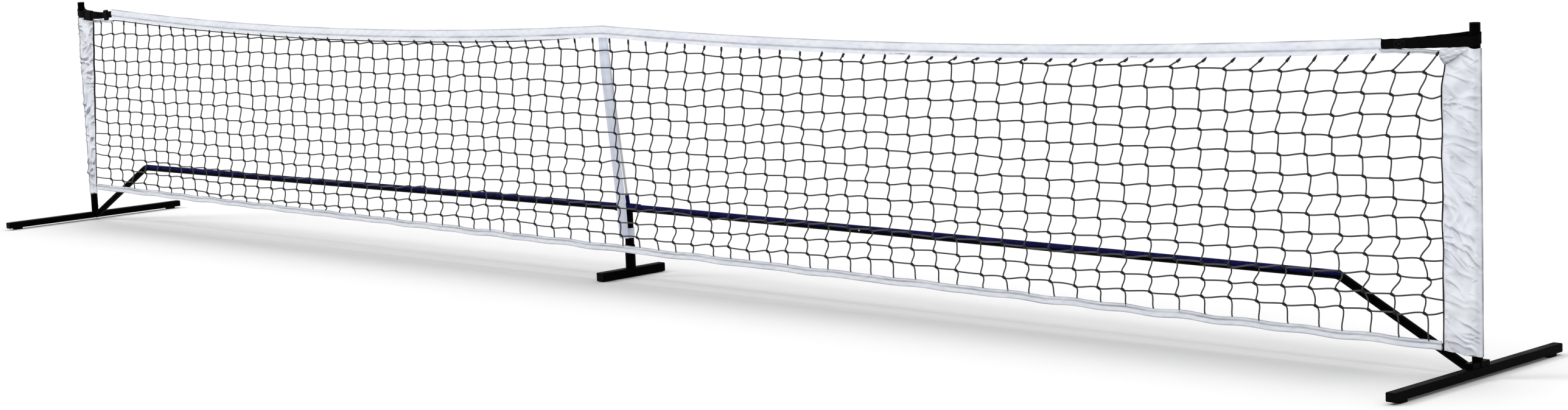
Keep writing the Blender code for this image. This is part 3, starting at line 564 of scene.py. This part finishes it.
def column_paths(knots, draw):
    """Cords down the columns, and a place and direction on each where its top is lashed."""
    start, end = knots - KNOT_HALF, knots + KNOT_HALF
    paths, ties = [], []
    for column in range(COLUMNS):
        x = knots[column, -1, 0]
        lean = column_lean(x) + draw.normal(0, 0.004)
        top_x = np.clip(x + lean, *TIED_WITHIN)
        in_tape = abs(top_x) < TAPE_END
        tape_z = tape_top(np.clip(x, -TAPE_END, TAPE_END)) - TAPE_DEPTH + TUCKED_IN
        top = np.array([top_x, NET_Y, tape_z if in_tape else STRIP_CORD_Z])
        a = start[column, -1]
        path = curve(top, top + offset(-lean * 0.3, -0.015), a + offset(0.3 * lean + 0.002, 0.012), a, 12)
        paths.append(path)
        lashed, before = (3, 2) if in_tape else (0, 0)
        ties.append((path[lashed], unit(path[lashed + 1] - path[before])))
        for row in range(ROWS - 1, 0, -1):
            b, a = end[column, row], start[column, row - 1]
            deep = 1 - row / ROWS
            bulge = 0.0010 + 0.009 * deep**2 + draw.normal(0, 0.0016)
            paths.append(curve(b, b + offset(bulge, -0.018), a + offset(0.0015 + 0.3 * bulge, 0.018), a, 9))
        b = end[column, 0]
        foot_x = b[0] + 0.003 + draw.normal(0.0, 0.004)
        low = np.array([foot_x, NET_Y, hem_middle(foot_x) + HEM_DEPTH / 2 - TUCKED_IN])
        paths.append(curve(b, b + offset(0.009, -0.016), low + offset(-0.007, 0.016), low, 7))
    return paths, ties


def make_net():
    """Cords between knots. A row comes down across each knot, and a column leans back across it."""
    knots = net_knots()
    draw = np.random.default_rng(8)
    facing = np.array([0.0, 1.0, 0.0])
    rows = row_paths(knots, draw)
    columns, ties = column_paths(knots, draw)
    cords, lashes = Shape(), Shape()
    for path in rows + columns:
        cords.strand(path, circle(CORD_R, 6), facing)
    tie_half = 0.0055
    heads = [*(knots - KNOT_HALF).reshape(-1, 3), *(middle - ahead * tie_half for middle, ahead in ties)]
    tails = [*(knots + KNOT_HALF).reshape(-1, 3), *(middle + ahead * tie_half for middle, ahead in ties)]
    turns = np.linspace(0, 1.5, 8)[:, None]
    for head, tail in zip(heads, tails):
        line = head + (tail - head) * (turns / turns[-1] * 1.24 - 0.12)
        for phase in (0, math.pi):
            swing = 2 * math.pi * turns + phase
            around = np.concatenate([np.zeros_like(swing), np.cos(swing), np.sin(swing)], 1)
            lashes.strand(line + KNOT_CORD_R * 0.9 * around, circle(KNOT_CORD_R, 5), facing)
    twine = twisted_cord("net_twine", (0.030, 0.030, 0.034, 1), (0.115, 0.115, 0.125, 1), 0.0035)
    cords.piece("net_cords", twine, "net_cord", "net")
    # The knots get a much darker copy of the twine: painted shade for the shade inside each knot.
    shaded_knot_twine = twisted_cord("knot_twine", (0.003, 0.003, 0.004, 1), (0.016, 0.016, 0.019, 1), 0.0030)
    lashes.piece("net_knots", shaded_knot_twine, "net_cord")


def make_border():
    """The net's edge rope: along the top tape and down each sleeve's inner edge.

    It shows below the tape on the left half only. On the right half a thin stretch lies inside the tape.
    """
    ends = {side: side * (HALF_SPAN - sleeve_reach(side, ROPE_CORNER_Z) - 0.001) for side in (-1, 1)}
    xs = np.linspace(ends[-1], ends[1], 340)
    under_tape = smooth_step(TAPE_END + 0.004, TAPE_END - 0.012, np.abs(xs))
    low = tape_top(np.clip(xs, -TAPE_END, TAPE_END)) - TAPE_DEPTH
    shown = 1 - smooth_step(-0.6, 0.25, xs)
    dip = 0.0038 * shown - 0.0050 * (1 - shown)
    painted_highlight_z = (low - dip) * under_tape + STRIP_ROPE_Z * (1 - under_tape)
    top = np.stack([xs, np.full_like(xs, NET_Y), painted_highlight_z], -1)
    hidden = (1 - shown) * under_tape
    route, widths = [top], [BORDER_R * (1 - 0.55 * hidden)]
    for side in (1, -1):
        zs = np.linspace(ROPE_CORNER_Z - 0.004, hem_middle(side * 3.2) + 0.004, 150)
        inside = 0.0030 if side < 0 else 0.0012
        out = sleeve_reach(side, zs) + inside + 0.0010 * ripple(11 + side, zs, 0 * zs, 0.15, 1.0)
        edge = np.stack([side * (HALF_SPAN - out), np.full_like(zs, NET_Y - 0.0005), zs], -1)
        thicker = 0.75 * smooth_step(0.34, 0.50, zs) if side < 0 else 0.12 * ripple(9, zs, 0 * zs, 0.2, 1)
        width = BORDER_R * (1 + thicker)
        route = [*route, edge] if side > 0 else [edge[::-1], *route]
        widths = [*widths, width] if side > 0 else [width[::-1], *widths]
    path, width = np.concatenate(route), np.concatenate(widths)
    for _ in range(3):
        path[1:-1] = (path[:-2] + 2 * path[1:-1] + path[2:]) / 4
        width[1:-1] = (width[:-2] + 2 * width[1:-1] + width[2:]) / 4
    rope = Shape()
    rope.strand(path, circle(1.0, 8)[None] * width[:, None, None], np.array([0.0, 1.0, 0.0]))
    twine = twisted_cord("border_rope", (0.002, 0.002, 0.003, 1), (0.014, 0.014, 0.017, 1), 0.0045)
    rope.piece("border_rope", twine, "net_cord")


# ---------------------------------------------------------------- tapes


def folded_strip(name, finish, xs, fold_z, depth, opening, seam, seed, rope_r, *nodes, painted_shade_all_over=0.0):
    """A strip folded over the net's edge and sewn through. fold_z is the height of its fold at each x.

    seam is the distance from the fold to the stitches, rope_r is the radius of the rope that rounds the fold,
    and opening is -1 when the strip opens downwards. The keyword argument is painted shade over the whole
    strip, from 0 to 1. Its fold and seam get more painted shade, and so do the free edges of a strip that
    opens upwards.
    """
    down = np.concatenate([[0, 0.0008, 0.002, 0.0036, 0.0055, 0.008], np.linspace(0.0105, depth, 13)])
    bulge = rope_r * np.sqrt(np.clip(1 - ((down - rope_r) / rope_r) ** 2, 0, 1)) * (down < rope_r)
    bulge += rope_r * (down >= rope_r) * (1 - smooth_step(rope_r, rope_r * 3.2, down))
    body = 0.0024 * smooth_step(0, rope_r * 2, down) + 0.0008 * np.sin(np.clip(down / seam, 0, 1) * math.pi)
    pinch = 0.0011 * np.exp(-(((down - seam) / 0.0022) ** 2))
    half = np.maximum(bulge, body) - pinch
    grid_x, grid_d = np.meshgrid(xs, down, indexing="ij")
    common = 0.0011 * ripple(seed, grid_x, grid_d, 0.35, 0.12) * smooth_step(0, depth, grid_d)
    outlines = []
    for facing in (-1, 1):
        pucker = 0.00050 * ripple(seed + 1 + facing, grid_x, grid_d, 0.018, 0.05)
        pucker = pucker * (0.35 + np.exp(-(((grid_d - seam) / 0.007) ** 2)))
        slack = 0.0008 * ripple(seed + 5 + facing, grid_x, grid_d, 0.09, 0.03)
        free = smooth_step(0.001, 0.010, grid_d)
        reach = half[None] + (np.maximum(pucker + slack, -0.0006)) * free
        level = fold_z[:, None] + opening * grid_d
        outer = np.stack([grid_x, NET_Y + common + facing * reach, level], -1)
        inner_reach = np.maximum(reach - PLY, 0.0002)
        inner_level = fold_z[:, None] + opening * np.maximum(grid_d, PLY)
        inner = np.stack([grid_x, NET_Y + common + facing * inner_reach, inner_level], -1)
        outlines.append((outer, inner))
    (front, front_in), (back, back_in) = outlines
    rings = np.concatenate([front[:, ::-1], back[:, 1:], back_in[:, ::-1], front_in[:, 1:]], 1)
    # Painted shade: grey lines along the fold, the seam and an upward strip's free edge, of varying strength,
    # a little above the seam, and random patches standing for wrinkle hollows.
    wear_and_shade_mottle = 0.75 + 0.25 * ripple(seed + 9, grid_x, grid_d, 0.30, 0.05)
    fold_line = 0.80 * np.exp(-((grid_d / 0.0026) ** 2))
    seam_line = 0.62 * np.exp(-(((grid_d - seam + 0.001) / 0.0026) ** 2))
    edge_line = 0.55 * np.exp(-(((depth - grid_d) / 0.0022) ** 2)) * (opening > 0)
    above = 0.05 * (grid_d < seam) * smooth_step(0.3, 0.9, grid_d / seam)
    painted_hollow_shade = 0.07 * np.clip(-ripple(seed + 3, grid_x, grid_d, 0.05, 0.03), 0, 1)
    shade = np.clip(painted_shade_all_over + (fold_line + seam_line + edge_line) * wear_and_shade_mottle + above + painted_hollow_shade, 0, 0.9)
    shade = np.concatenate([shade[:, ::-1], shade[:, 1:], shade[:, ::-1], shade[:, 1:]], 1)
    shape = Shape()
    last = down[-1]
    across = np.concatenate([last - down[::-1], last + down[1:], last + down[::-1], last - down[1:], [0]])
    shape.sweep(rings, across, xs - xs[0])
    return shape.piece(name, finish, "white_vinyl", *nodes, shade=shade)


def stitch_line(shape, middle, facing_y, pitch=0.0052, length=0.0038, radius=0.00035):
    """Thread stitches over a line of points, each a short bowed tube."""
    lengths = along_lengths(middle)
    for start in np.arange(0.003, lengths[-1] - length, pitch):
        at = np.linspace(start, start + length, 5)
        path = np.stack([np.interp(at, lengths, middle[:, k]) for k in range(3)], -1)
        bow = np.array([0.0, 0.6, 1.0, 0.6, 0.0]) - 0.5
        path = path + np.outer(bow, facing_y) * radius * 1.6
        shape.strand(path, circle(radius, 5), np.asarray(facing_y, float))


def make_tapes(cloth, thread):
    xs = np.linspace(-TAPE_END, TAPE_END, 760)
    top = folded_strip(
        "top_tape_cloth", cloth, xs, tape_top(xs), TAPE_DEPTH, -1, TOP_SEAM, 21, 0.0030, "top_tape"
    )
    low_x = np.linspace(-HEM_END[-1], HEM_END[1], 760)
    wave = 0.0015 * ripple(33, low_x, 0 * low_x, 0.22, 1.0)
    fold = hem_middle(low_x) - HEM_DEPTH / 2 + wave
    low = folded_strip(
        "bottom_tape_cloth", cloth, low_x, fold, HEM_DEPTH, 1, HEM_SEAM, 41, 0.0022, "bottom_tape"
    )
    ends = []
    for label, side in SIDES.items():
        end_x = side * np.linspace(TAPE_END - 0.006, HALF_SPAN - sleeve_reach(side, 0.862) - 0.002, 40)
        end_z = 0.8625 + 0.0012 * ripple(36, end_x, 0 * end_x, 0.09, 1.0)
        name = f"head_rope_cloth_{label}"
        # These short strips get painted shade all over.
        ends.append(folded_strip(name, cloth, end_x, end_z, 0.0125, -1, 0.0085, 45 + side, 0.0036, painted_shade_all_over=0.16))
    stitches = Shape()
    for sign in (-1, 1):
        out = np.array([0.0, sign, 0.0])
        for line_x, z in ((xs, tape_top(xs) - TOP_SEAM), (low_x, fold + HEM_SEAM)):
            middle = np.stack([line_x, np.full_like(line_x, NET_Y + sign * 0.0022), z], -1)[2:-2]
            stitch_line(stitches, middle, out)
    stitches.piece("tape_stitches", thread, "white_vinyl")
    return top, low, ends


def sleeve_relief(side, u, z):
    """How far the front of a sleeve stands out, from its folds. u is the distance from the post's axis."""
    foot, reach = SLEEVE_FOOT[side], sleeve_reach(side, z)
    box = ((-0.01, foot), (0.10, SLEEVE_TOP))
    seam = np.exp(-(((reach - u) / 0.016) ** 2))
    if side > 0:
        total = 0.0038 * creases(51, u, z, box, 22, 0.75, (0.035, 0.080), (0.0040, 0.0080))
        total += 0.0013 * creases(54, u, z, box, 26, 0.45, (0.012, 0.030), (0.0020, 0.0040))
        total += 0.0016 * crumple(57, u, z, 0.085, 0.8)
        near_post = np.exp(-(((u + 0.004) / 0.014) ** 2))
        strip = ((-0.02, foot), (0.02, SLEEVE_TOP))
        total += 0.0012 * creases(58, u, z, strip, 44, -0.6, (0.008, 0.020), (0.0014, 0.003)) * near_post
    else:
        total = 0.0062 * creases(61, u, z, box, 26, 0.25, (0.020, 0.055), (0.0050, 0.0100))
        total += 0.0016 * creases(62, u, z, box, 34, -0.2, (0.010, 0.024), (0.0022, 0.0045))
        total += 0.0022 * crumple(64, u, z, 0.090, 0.3)
    strip = ((reach.min() - 0.03, foot), (reach.max(), SLEEVE_TOP))
    pucker = creases(66 + side, u, z, strip, 70, 0.12, (0.006, 0.016), (0.0014, 0.0028))
    return total + 0.0010 * pucker * seam + 0.0009 * ripple(70 + side, u, z, 0.08, 0.10)


def sleeve_rings(side, zs, flat_steps, round_steps):
    """Smooth sections of a sleeve at heights zs: along its front, round the post and along its back."""
    front = np.linspace(1, 0, flat_steps, endpoint=False)
    angles = np.linspace(-math.pi / 2, -3 * math.pi / 2, round_steps)
    back = np.linspace(0, 1, flat_steps + 1)[1:]
    seam_y = 0.0152
    rings = []
    for z in zs:
        reach = float(sleeve_reach(side, z))
        pinch = min(0.060, reach * 0.7)
        fall = np.minimum(reach * back / pinch, 1.0)
        sunk = 0.35 * (0.5 - 0.5 * np.cos(math.pi * fall)) + 0.65 * fall
        us = np.concatenate([reach * front, SLEEVE_R * np.cos(angles), reach * back])
        back_y = SLEEVE_R - (seam_y + SLEEVE_R) * sunk
        ys = np.concatenate([-SLEEVE_R - 0.0012 * front, SLEEVE_R * np.sin(angles), back_y])
        rings.append(np.stack([us, ys, np.full_like(us, z)], -1))
    return np.array(rings)


def sleeve_shade(side, rings, drape):
    """Painted shade on a sleeve: under its folds and in its hollows, over some facets, and in a dark line down
    its outer edge.
    """
    u, z = rings[..., 0], rings[..., 2]
    steep = np.gradient(drape, axis=0) / np.gradient(z, axis=0)
    strong, limit = (0.80, 0.40) if side > 0 else (1.00, 0.60)
    # Painted shade over some facets of the crumpled cloth, and under the folds where the cloth faces down.
    facets = crumple(98, u, z, 0.110, 0.9) if side > 0 else crumple(99, u, z, 0.080, 0.4)
    under = np.clip(steep * strong, 0, limit) + np.clip(-drape / 0.016, 0, 0.12)
    under = under + (0.10 if side > 0 else 0.16) * np.clip(0.5 - facets, 0, 1)
    # Painted shade in a dashed dark line down the outer edge, where the cloth turns round the post.
    shade_line_turn = math.radians(174 if side > 0 else -102)
    turned = np.arctan2(rings[..., 1], u)
    near_post = np.hypot(u, rings[..., 1]) < POST_R + 0.006
    gap = np.abs((turned - shade_line_turn + math.pi) % (2 * math.pi) - math.pi)
    dashes = 0.74 + 0.22 * ripple(97 + side, z, 0 * z, 0.16, 1.0)
    line = np.clip(dashes, 0.2, 0.9) * np.exp(-((gap / 0.30) ** 2)) * near_post
    return np.clip(under + line, 0, 0.9)


def make_sleeve(label, side, cloth):
    """A side sleeve: one cloth wrapped round the post and sewn to itself along the net's edge."""
    foot = SLEEVE_FOOT[side]
    zs = np.linspace(foot, SLEEVE_TOP, 400)
    flat_steps, round_steps = 44, 26
    rings = sleeve_rings(side, zs, flat_steps, round_steps)
    u, z = rings[..., 0], rings[..., 2]
    place = np.arange(rings.shape[1])[None]
    on_front = 1 - smooth_step(flat_steps + 4, flat_steps + 12, place)
    on_back = smooth_step(flat_steps + round_steps - 10, flat_steps + round_steps - 2, place)
    tangent = unit(np.gradient(rings, axis=1))
    outward = np.stack([-tangent[..., 1], tangent[..., 0], 0 * tangent[..., 0]], -1)

    # Folds, which die out at the seam and under the strap or the folded corner
    free = smooth_step(0.0, 0.007, sleeve_reach(side, z) - u)
    box = ((0.0, foot), (0.10, SLEEVE_TOP))
    rear = 0.0026 * creases(80 + side, u, z, box, 40, -0.5, (0.02, 0.06), (0.003, 0.007))
    rear += 0.0012 * crumple(83, u, z, 0.05, -0.5)
    drape = (sleeve_relief(side, u, z) * on_front + rear * on_back) * free
    calm = 1 - smooth_step(0.835, 0.855, z) if side < 0 else 1 - 0.85 * smooth_step(0.795, 0.825, z)
    deepest = np.where(u < POST_R + 0.004, -0.0010, -0.0045)
    relief = np.clip(drape * calm, deepest, FOLD_HEIGHT)
    outer = rings + outward * relief[..., None]
    inner = outer - outward * PLY
    both = np.concatenate([outer, inner[:, ::-1]], 1)

    # Uneven hems at the foot and the top
    share = (zs - foot) / (SLEEVE_TOP - foot)
    slope = 0.08 if side > 0 else 0.05
    foot_lift = np.maximum(0, u[0]) * slope + 0.0016 * ripple(90 + side, u[0], 0 * u[0], 0.06, 1.0)
    top_lift = -0.0015 * ripple(95 + side, u[0], 0 * u[0], 0.05, 1.0)
    both[..., 2] += np.concatenate([foot_lift, foot_lift[::-1]])[None] * (1 - share[:, None]) ** 3
    both[..., 2] += np.concatenate([top_lift, top_lift[::-1]])[None] * share[:, None] ** 6
    both[..., 0] = side * (HALF_SPAN - both[..., 0])

    width = along_lengths(rings[0])
    shape = Shape()
    shape.sweep(both, np.concatenate([width, width[::-1], [0]]), zs - foot)
    shade = sleeve_shade(side, rings, drape)
    shade = np.concatenate([shade, shade[:, ::-1]], 1)
    name = f"side_sleeve_cloth_{label}"
    return shape.piece(name, cloth, "white_vinyl", f"side_sleeve_{label}", shade=shade)


def make_corner_fold(cloth):
    """The hem at the right sleeve's top, folded down over its front with one corner hanging at the notch."""
    outline_u = [0.0905, 0.0760, 0.0600, 0.0450, 0.0280, 0.0100]
    outline_z = [0.8440, 0.8235, 0.8300, 0.8400, 0.8540, 0.8640]
    us = np.linspace(outline_u[0], outline_u[-1], 60)
    low = np.interp(-us, [-u for u in outline_u], outline_z)
    low[2:-2] = (low[:-4] + low[1:-3] + low[2:-2] + low[3:-1] + low[4:]) / 5
    down = np.linspace(0, 1, 22)
    high = 0.8668 - 0.0010 * np.sin(us * 90)
    grid_u, grid_d = np.meshgrid(us, down, indexing="ij")
    z = high[:, None] + (low - high)[:, None] * grid_d
    depth = high[:, None] - z
    bulge = 0.0030 * np.sin(np.clip(depth / 0.020, 0, 1) * math.pi) ** 2
    bulge += 0.0060 * smooth_step(0, 0.03, depth)
    box = ((0.02, 0.83), (0.09, 0.866))
    bulge += 0.0011 * creases(71, grid_u, z, box, 14, -0.5, (0.02, 0.04), (0.002, 0.004))
    y = -(POST_R + 0.0051) - bulge
    x = HALF_SPAN - grid_u
    front, behind = np.stack([x, y, z], -1), np.stack([x, y + PLY, z], -1)
    # Painted shade: the folded corner is grey all over, darker away from the post and towards its hanging
    # edge, with random patches.
    shade = 0.24 + 0.34 * smooth_step(0.2, 1.0, grid_d) * smooth_step(0.020, 0.045, grid_u)
    shade = shade + 0.30 * np.exp(-(((grid_d - 1) / 0.10) ** 2)) + 0.12 * ripple(73, grid_u, z, 0.03, 0.010)
    shape = Shape()
    shape.sweep(np.concatenate([front, behind[:, ::-1]], 1))
    shade = np.clip(np.concatenate([shade, shade[:, ::-1]], 1), 0, 0.9)
    return shape.piece("sleeve_corner_cloth_right", cloth, "white_vinyl", shade=shade)


# ---------------------------------------------------------------- band and straps


def flat_section(width, thick):
    """Outline of webbing with rounded edges, as (across, facing) pairs."""
    steps = 16
    across = np.linspace(-width / 2 + thick / 2, width / 2 - thick / 2, steps)
    angles = np.linspace(-math.pi / 2, math.pi / 2, 5)[1:-1]
    cap = np.stack([np.cos(angles), np.sin(angles)], -1) * thick / 2
    right = cap + [width / 2 - thick / 2, 0]
    left = -cap - [width / 2 - thick / 2, 0]
    low = np.stack([across, np.full(steps, -thick / 2)], -1)
    high = np.stack([across[::-1], np.full(steps, thick / 2)], -1)
    return np.concatenate([low, right, high, left])


def smooth_path(points, steps):
    """A rounded route through points, evenly spaced."""
    path = np.asarray(points, float)
    for _ in range(3):
        quarter, three = path[:-1] * 0.75 + path[1:] * 0.25, path[:-1] * 0.25 + path[1:] * 0.75
        path = np.concatenate([path[:1], np.stack([quarter, three], 1).reshape(-1, 3), path[-1:]])
    lengths = along_lengths(path)
    at = np.linspace(0, lengths[-1], steps)
    return np.stack([np.interp(at, lengths, path[:, k]) for k in range(3)], -1)


def make_band(webbing):
    """The centre band, from the back of the top tape down in front of the tee to its loop on the leg."""
    low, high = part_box("centre_band")
    tee_front, bar_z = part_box("centre_tee")[0][1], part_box("crossbar_inner_right")[0][2] + 0.0127
    points = [
        (-0.004, NET_Y + 0.0045, high[2]),
        (-0.004, NET_Y + 0.0045, 0.842),
        (-0.006, NET_Y + 0.012, 0.700),
        (-0.013, tee_front - 0.004, bar_z + 0.025),
        (-0.012, high[1] - 0.0010, bar_z - 0.030),
        (-0.008, high[1] - 0.0010, low[2]),
    ]
    path = smooth_path(points, 150)
    band = Shape()
    band.strand(path, flat_section(BAND_WIDTH, 0.0012), np.array([0.0, -1.0, 0.0]))
    made = band.piece("centre_band_webbing", webbing, "white_webbing", "centre_band")
    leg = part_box("band_leg_loop")
    middle = [(leg[0][k] + leg[1][k]) / 2 for k in range(3)]
    radius = (leg[1][0] - leg[0][0]) / 2 - 0.0006
    turn = np.linspace(0, 2 * math.pi, 61)
    outward = np.stack([np.sin(turn), -np.cos(turn), 0 * turn], -1)
    ring = np.array(middle) + radius * outward
    loop = Shape()
    section = flat_section(leg[1][2] - leg[0][2], 0.0011)
    ahead = np.stack([np.cos(turn), np.sin(turn), 0 * turn], -1)
    up = np.cross(ahead, outward)
    rings = ring[:, None] + up[:, None] * section[:, :1] + outward[:, None] * section[:, 1:]
    loop.sweep(rings[:-1])
    loop.piece("band_loop_webbing", webbing, "white_webbing", "band_leg_loop")
    return made


def strap_point(side, reach, y, behind=False):
    """Point of a strap's middle line at a distance from the post's axis, in its front or back layer."""
    share = max(0.0, reach / (HALF_SPAN - TAPE_END))
    z = STRAP_POST_Z[side] + (STRAP_TAPE_Z[side] - STRAP_POST_Z[side]) * share
    z -= STRAP_SAG[side] * math.sin(math.pi * min(1.0, share))
    if behind:
        z += STRAP_RISE[side] * max(0.0, 1 - reach / LAYERS_MEET[side])
    return (side * (HALF_SPAN - reach), y, z)


def fold_round_bar(bar, back_to_post):
    """Route of a strap end that wraps a buckle's bar and lies back on itself."""
    route = []
    for k in range(7):
        angle = math.pi * (k / 6 - 0.5)
        route.append((bar + back_to_post * WRAP_R * math.cos(angle), BUCKLE_Y + WRAP_R * math.sin(angle)))
    return route + [(bar - back_to_post * away, BUCKLE_Y - WRAP_R + 0.0018) for away in (0.014, 0.026)]


def post_wrap(side):
    """Route of webbing that comes along behind the net, climbs a little and turns round the post."""
    radius = POST_R + 0.0010 + WEB_THICK / 2
    reaches = (0.256, 0.198, 0.190, 0.120, 0.060)
    route = [strap_point(side, reach, BACK_WEB_Y, behind=True) for reach in reaches]
    for k in range(13):
        angle = math.pi / 2 * (1 - k / 6)
        z = STRAP_POST_Z[side] + STRAP_RISE[side] * (1 - k / 12)
        route.append((side * (HALF_SPAN + radius * math.cos(angle)), radius * math.sin(angle), z))
    return route


def box_stitch(shape, side, low_reach, high_reach, y, facing_y):
    """A sewn box with a cross in it, over webbing between two distances from the post's axis."""
    half = WEB_WIDTH / 2 - 0.004
    reaches = (low_reach, high_reach, high_reach, low_reach, low_reach, high_reach, high_reach, low_reach)
    rises = (-half, -half, half, half, -half, half, -half, half)
    corners = [np.array(strap_point(side, reach, y)) + (0, 0, rise) for reach, rise in zip(reaches, rises)]
    for start, end in zip(corners, corners[1:]):
        middle = start + (end - start) * np.linspace(0, 1, 12)[:, None]
        stitch_line(shape, middle, (0.0, facing_y, 0.0), 0.0036, 0.0027, 0.00035)


def make_straps():
    """The end straps: two for the left buckle, and a plain one on the right."""
    finish = black_webbing()
    thread = sewing_thread("strap_thread", (0.006, 0.006, 0.007, 1), (0.016, 0.016, 0.018, 1))
    section = flat_section(WEB_WIDTH, WEB_THICK)
    buckled = [(MALE_BAR - 0.034, BUCKLE_Y - WRAP_R), *fold_round_bar(MALE_BAR, 1)]
    taped = [(SEWN_AT, NET_Y), (0.264, NET_Y)]
    taped += [(reach, FRONT_WEB_Y) for reach in (0.250, 0.194, 0.186)]
    taped += [(FEMALE_BAR + 0.036, BUCKLE_Y - WRAP_R), *fold_round_bar(FEMALE_BAR, -1)]
    plain = [(0.250, PLAIN_FRONT_Y), (0.264, NET_Y), (SEWN_AT, NET_Y)]
    routes = {
        "post_strap_left": post_wrap(-1) + [strap_point(-1, *spot) for spot in buckled],
        "tape_strap_left": [strap_point(-1, *spot) for spot in taped],
        "end_strap_right": post_wrap(1) + [strap_point(1, *spot) for spot in plain],
    }
    for name, route in routes.items():
        path = smooth_path(route, 260)
        path[:, 2] += 0.0004 * ripple(len(name), path[:, 0], path[:, 1], 0.05, 1.0)
        facing = np.cross(unit(np.gradient(path, axis=0)), (0.0, 0.0, 1.0))
        shape = Shape()
        shape.strand(path, section, facing)
        shape.piece(f"{name}_webbing", finish, "black_webbing", name)
    stitches = Shape()
    box_stitch(stitches, 1, 0.196, 0.228, PLAIN_FRONT_Y - WEB_THICK / 2, -1.0)
    box_stitch(stitches, 1, 0.222, 0.246, BACK_WEB_Y + WEB_THICK / 2, 1.0)
    stitches.piece("strap_stitches", thread, "black_webbing")


# ---------------------------------------------------------------- stage

# Painted shadow: a soft grey band on the floor under the net
SHADE_Y, SHADE_WIDTH, SHADE_STRENGTH = -0.06, 0.27, 0.29


def make_stage():
    mesh = bpy.data.meshes.new("floor")
    reach = 60.0
    corners = [(-reach, -reach, 0), (reach, -reach, 0), (reach, reach, 0), (-reach, reach, 0)]
    mesh.from_pydata(corners, [], [(0, 1, 2, 3)])
    floor = bpy.data.objects.new("floor", mesh)
    bpy.context.scene.collection.objects.link(floor)
    paper = Finish("paper_floor", Specular_IOR_Level=0.0, Roughness=0.9)
    place = paper.node("ShaderNodeTexCoord", {}, output=3)
    across = paper.node("ShaderNodeSeparateXYZ", {0: place}, output=1)
    along = paper.node("ShaderNodeSeparateXYZ", {0: place}, output=0)
    # Painted shadow, fading out past the net's ends
    away = paper.maths("DIVIDE", paper.maths("SUBTRACT", across, SHADE_Y), SHADE_WIDTH)
    band = paper.maths("POWER", math.e, paper.maths("MULTIPLY", paper.maths("MULTIPLY", away, away), -1.0))
    ends = paper.span(paper.maths("ABSOLUTE", along), 3.0, 3.7, 1.0, 0.0)
    shade = paper.maths("MULTIPLY", paper.maths("MULTIPLY", band, ends), SHADE_STRENGTH)
    pale = paper.tint(paper.noise(2.0, 2.0), grey(0.93), grey(0.95))
    paper.set("Base Color", paper.tint(shade, pale, grey(0.0)))
    mesh.materials.append(paper.material)

    world = bpy.data.worlds.new("studio")
    world.use_nodes = True
    world.node_tree.nodes["Background"].inputs["Color"].default_value = (1, 1, 1, 1)
    world.node_tree.nodes["Background"].inputs["Strength"].default_value = 0.66
    bpy.context.scene.world = world

    def add_sun(name, toward, strength, softness):
        """A distant soft light that shines along toward. It lights all of the floor alike."""
        light = bpy.data.lights.new(name, "SUN")
        light.energy, light.angle = strength, math.radians(softness)
        made = bpy.data.objects.new(name, light)
        bpy.context.scene.collection.objects.link(made)
        made.rotation_euler = Vector(toward).to_track_quat("-Z", "Y").to_euler()

    add_sun("light_behind", (0.10, -0.45, -1.0), 0.90, 60)
    add_sun("light_front", (0.75, 0.55, -0.80), 0.95, 16)


def make_camera():
    yaw, pitch, roll = math.radians(-44.66), math.radians(6.94), math.radians(-2.21)
    ahead = Vector((math.sin(yaw) * math.cos(pitch), math.cos(yaw) * math.cos(pitch), -math.sin(pitch)))
    right = Vector((math.cos(yaw), -math.sin(yaw), 0))
    up = right.cross(ahead)
    side = right * math.cos(roll) + up * math.sin(roll)
    rise = up * math.cos(roll) - right * math.sin(roll)
    lens = bpy.data.cameras.new("camera")
    lens.sensor_width, lens.lens = 36.0, 63.22
    lens.shift_x, lens.shift_y = 0.0016, -0.0041
    camera = bpy.data.objects.new("camera", lens)
    bpy.context.scene.collection.objects.link(camera)
    turned = Matrix((side, rise, -ahead)).transposed().to_4x4()
    camera.matrix_world = Matrix.Translation((7.06, -6.32, 1.41)) @ turned
    bpy.context.scene.camera = camera


def main():
    make_camera()
    make_stage()
    bpy.context.scene.view_settings.view_transform = "Standard"
    finish_nodes()
    cloth, webbing = coated_cloth(), band_webbing()
    thread = sewing_thread("sewing_thread", (0.50, 0.52, 0.60, 1), (0.66, 0.68, 0.76, 1))
    make_net()
    make_border()
    top, low, ends = make_tapes(cloth, thread)
    for label, side in SIDES.items():
        sleeve = make_sleeve(label, side, cloth)
    fold = make_corner_fold(cloth)
    band = make_band(webbing)
    make_straps()


main()
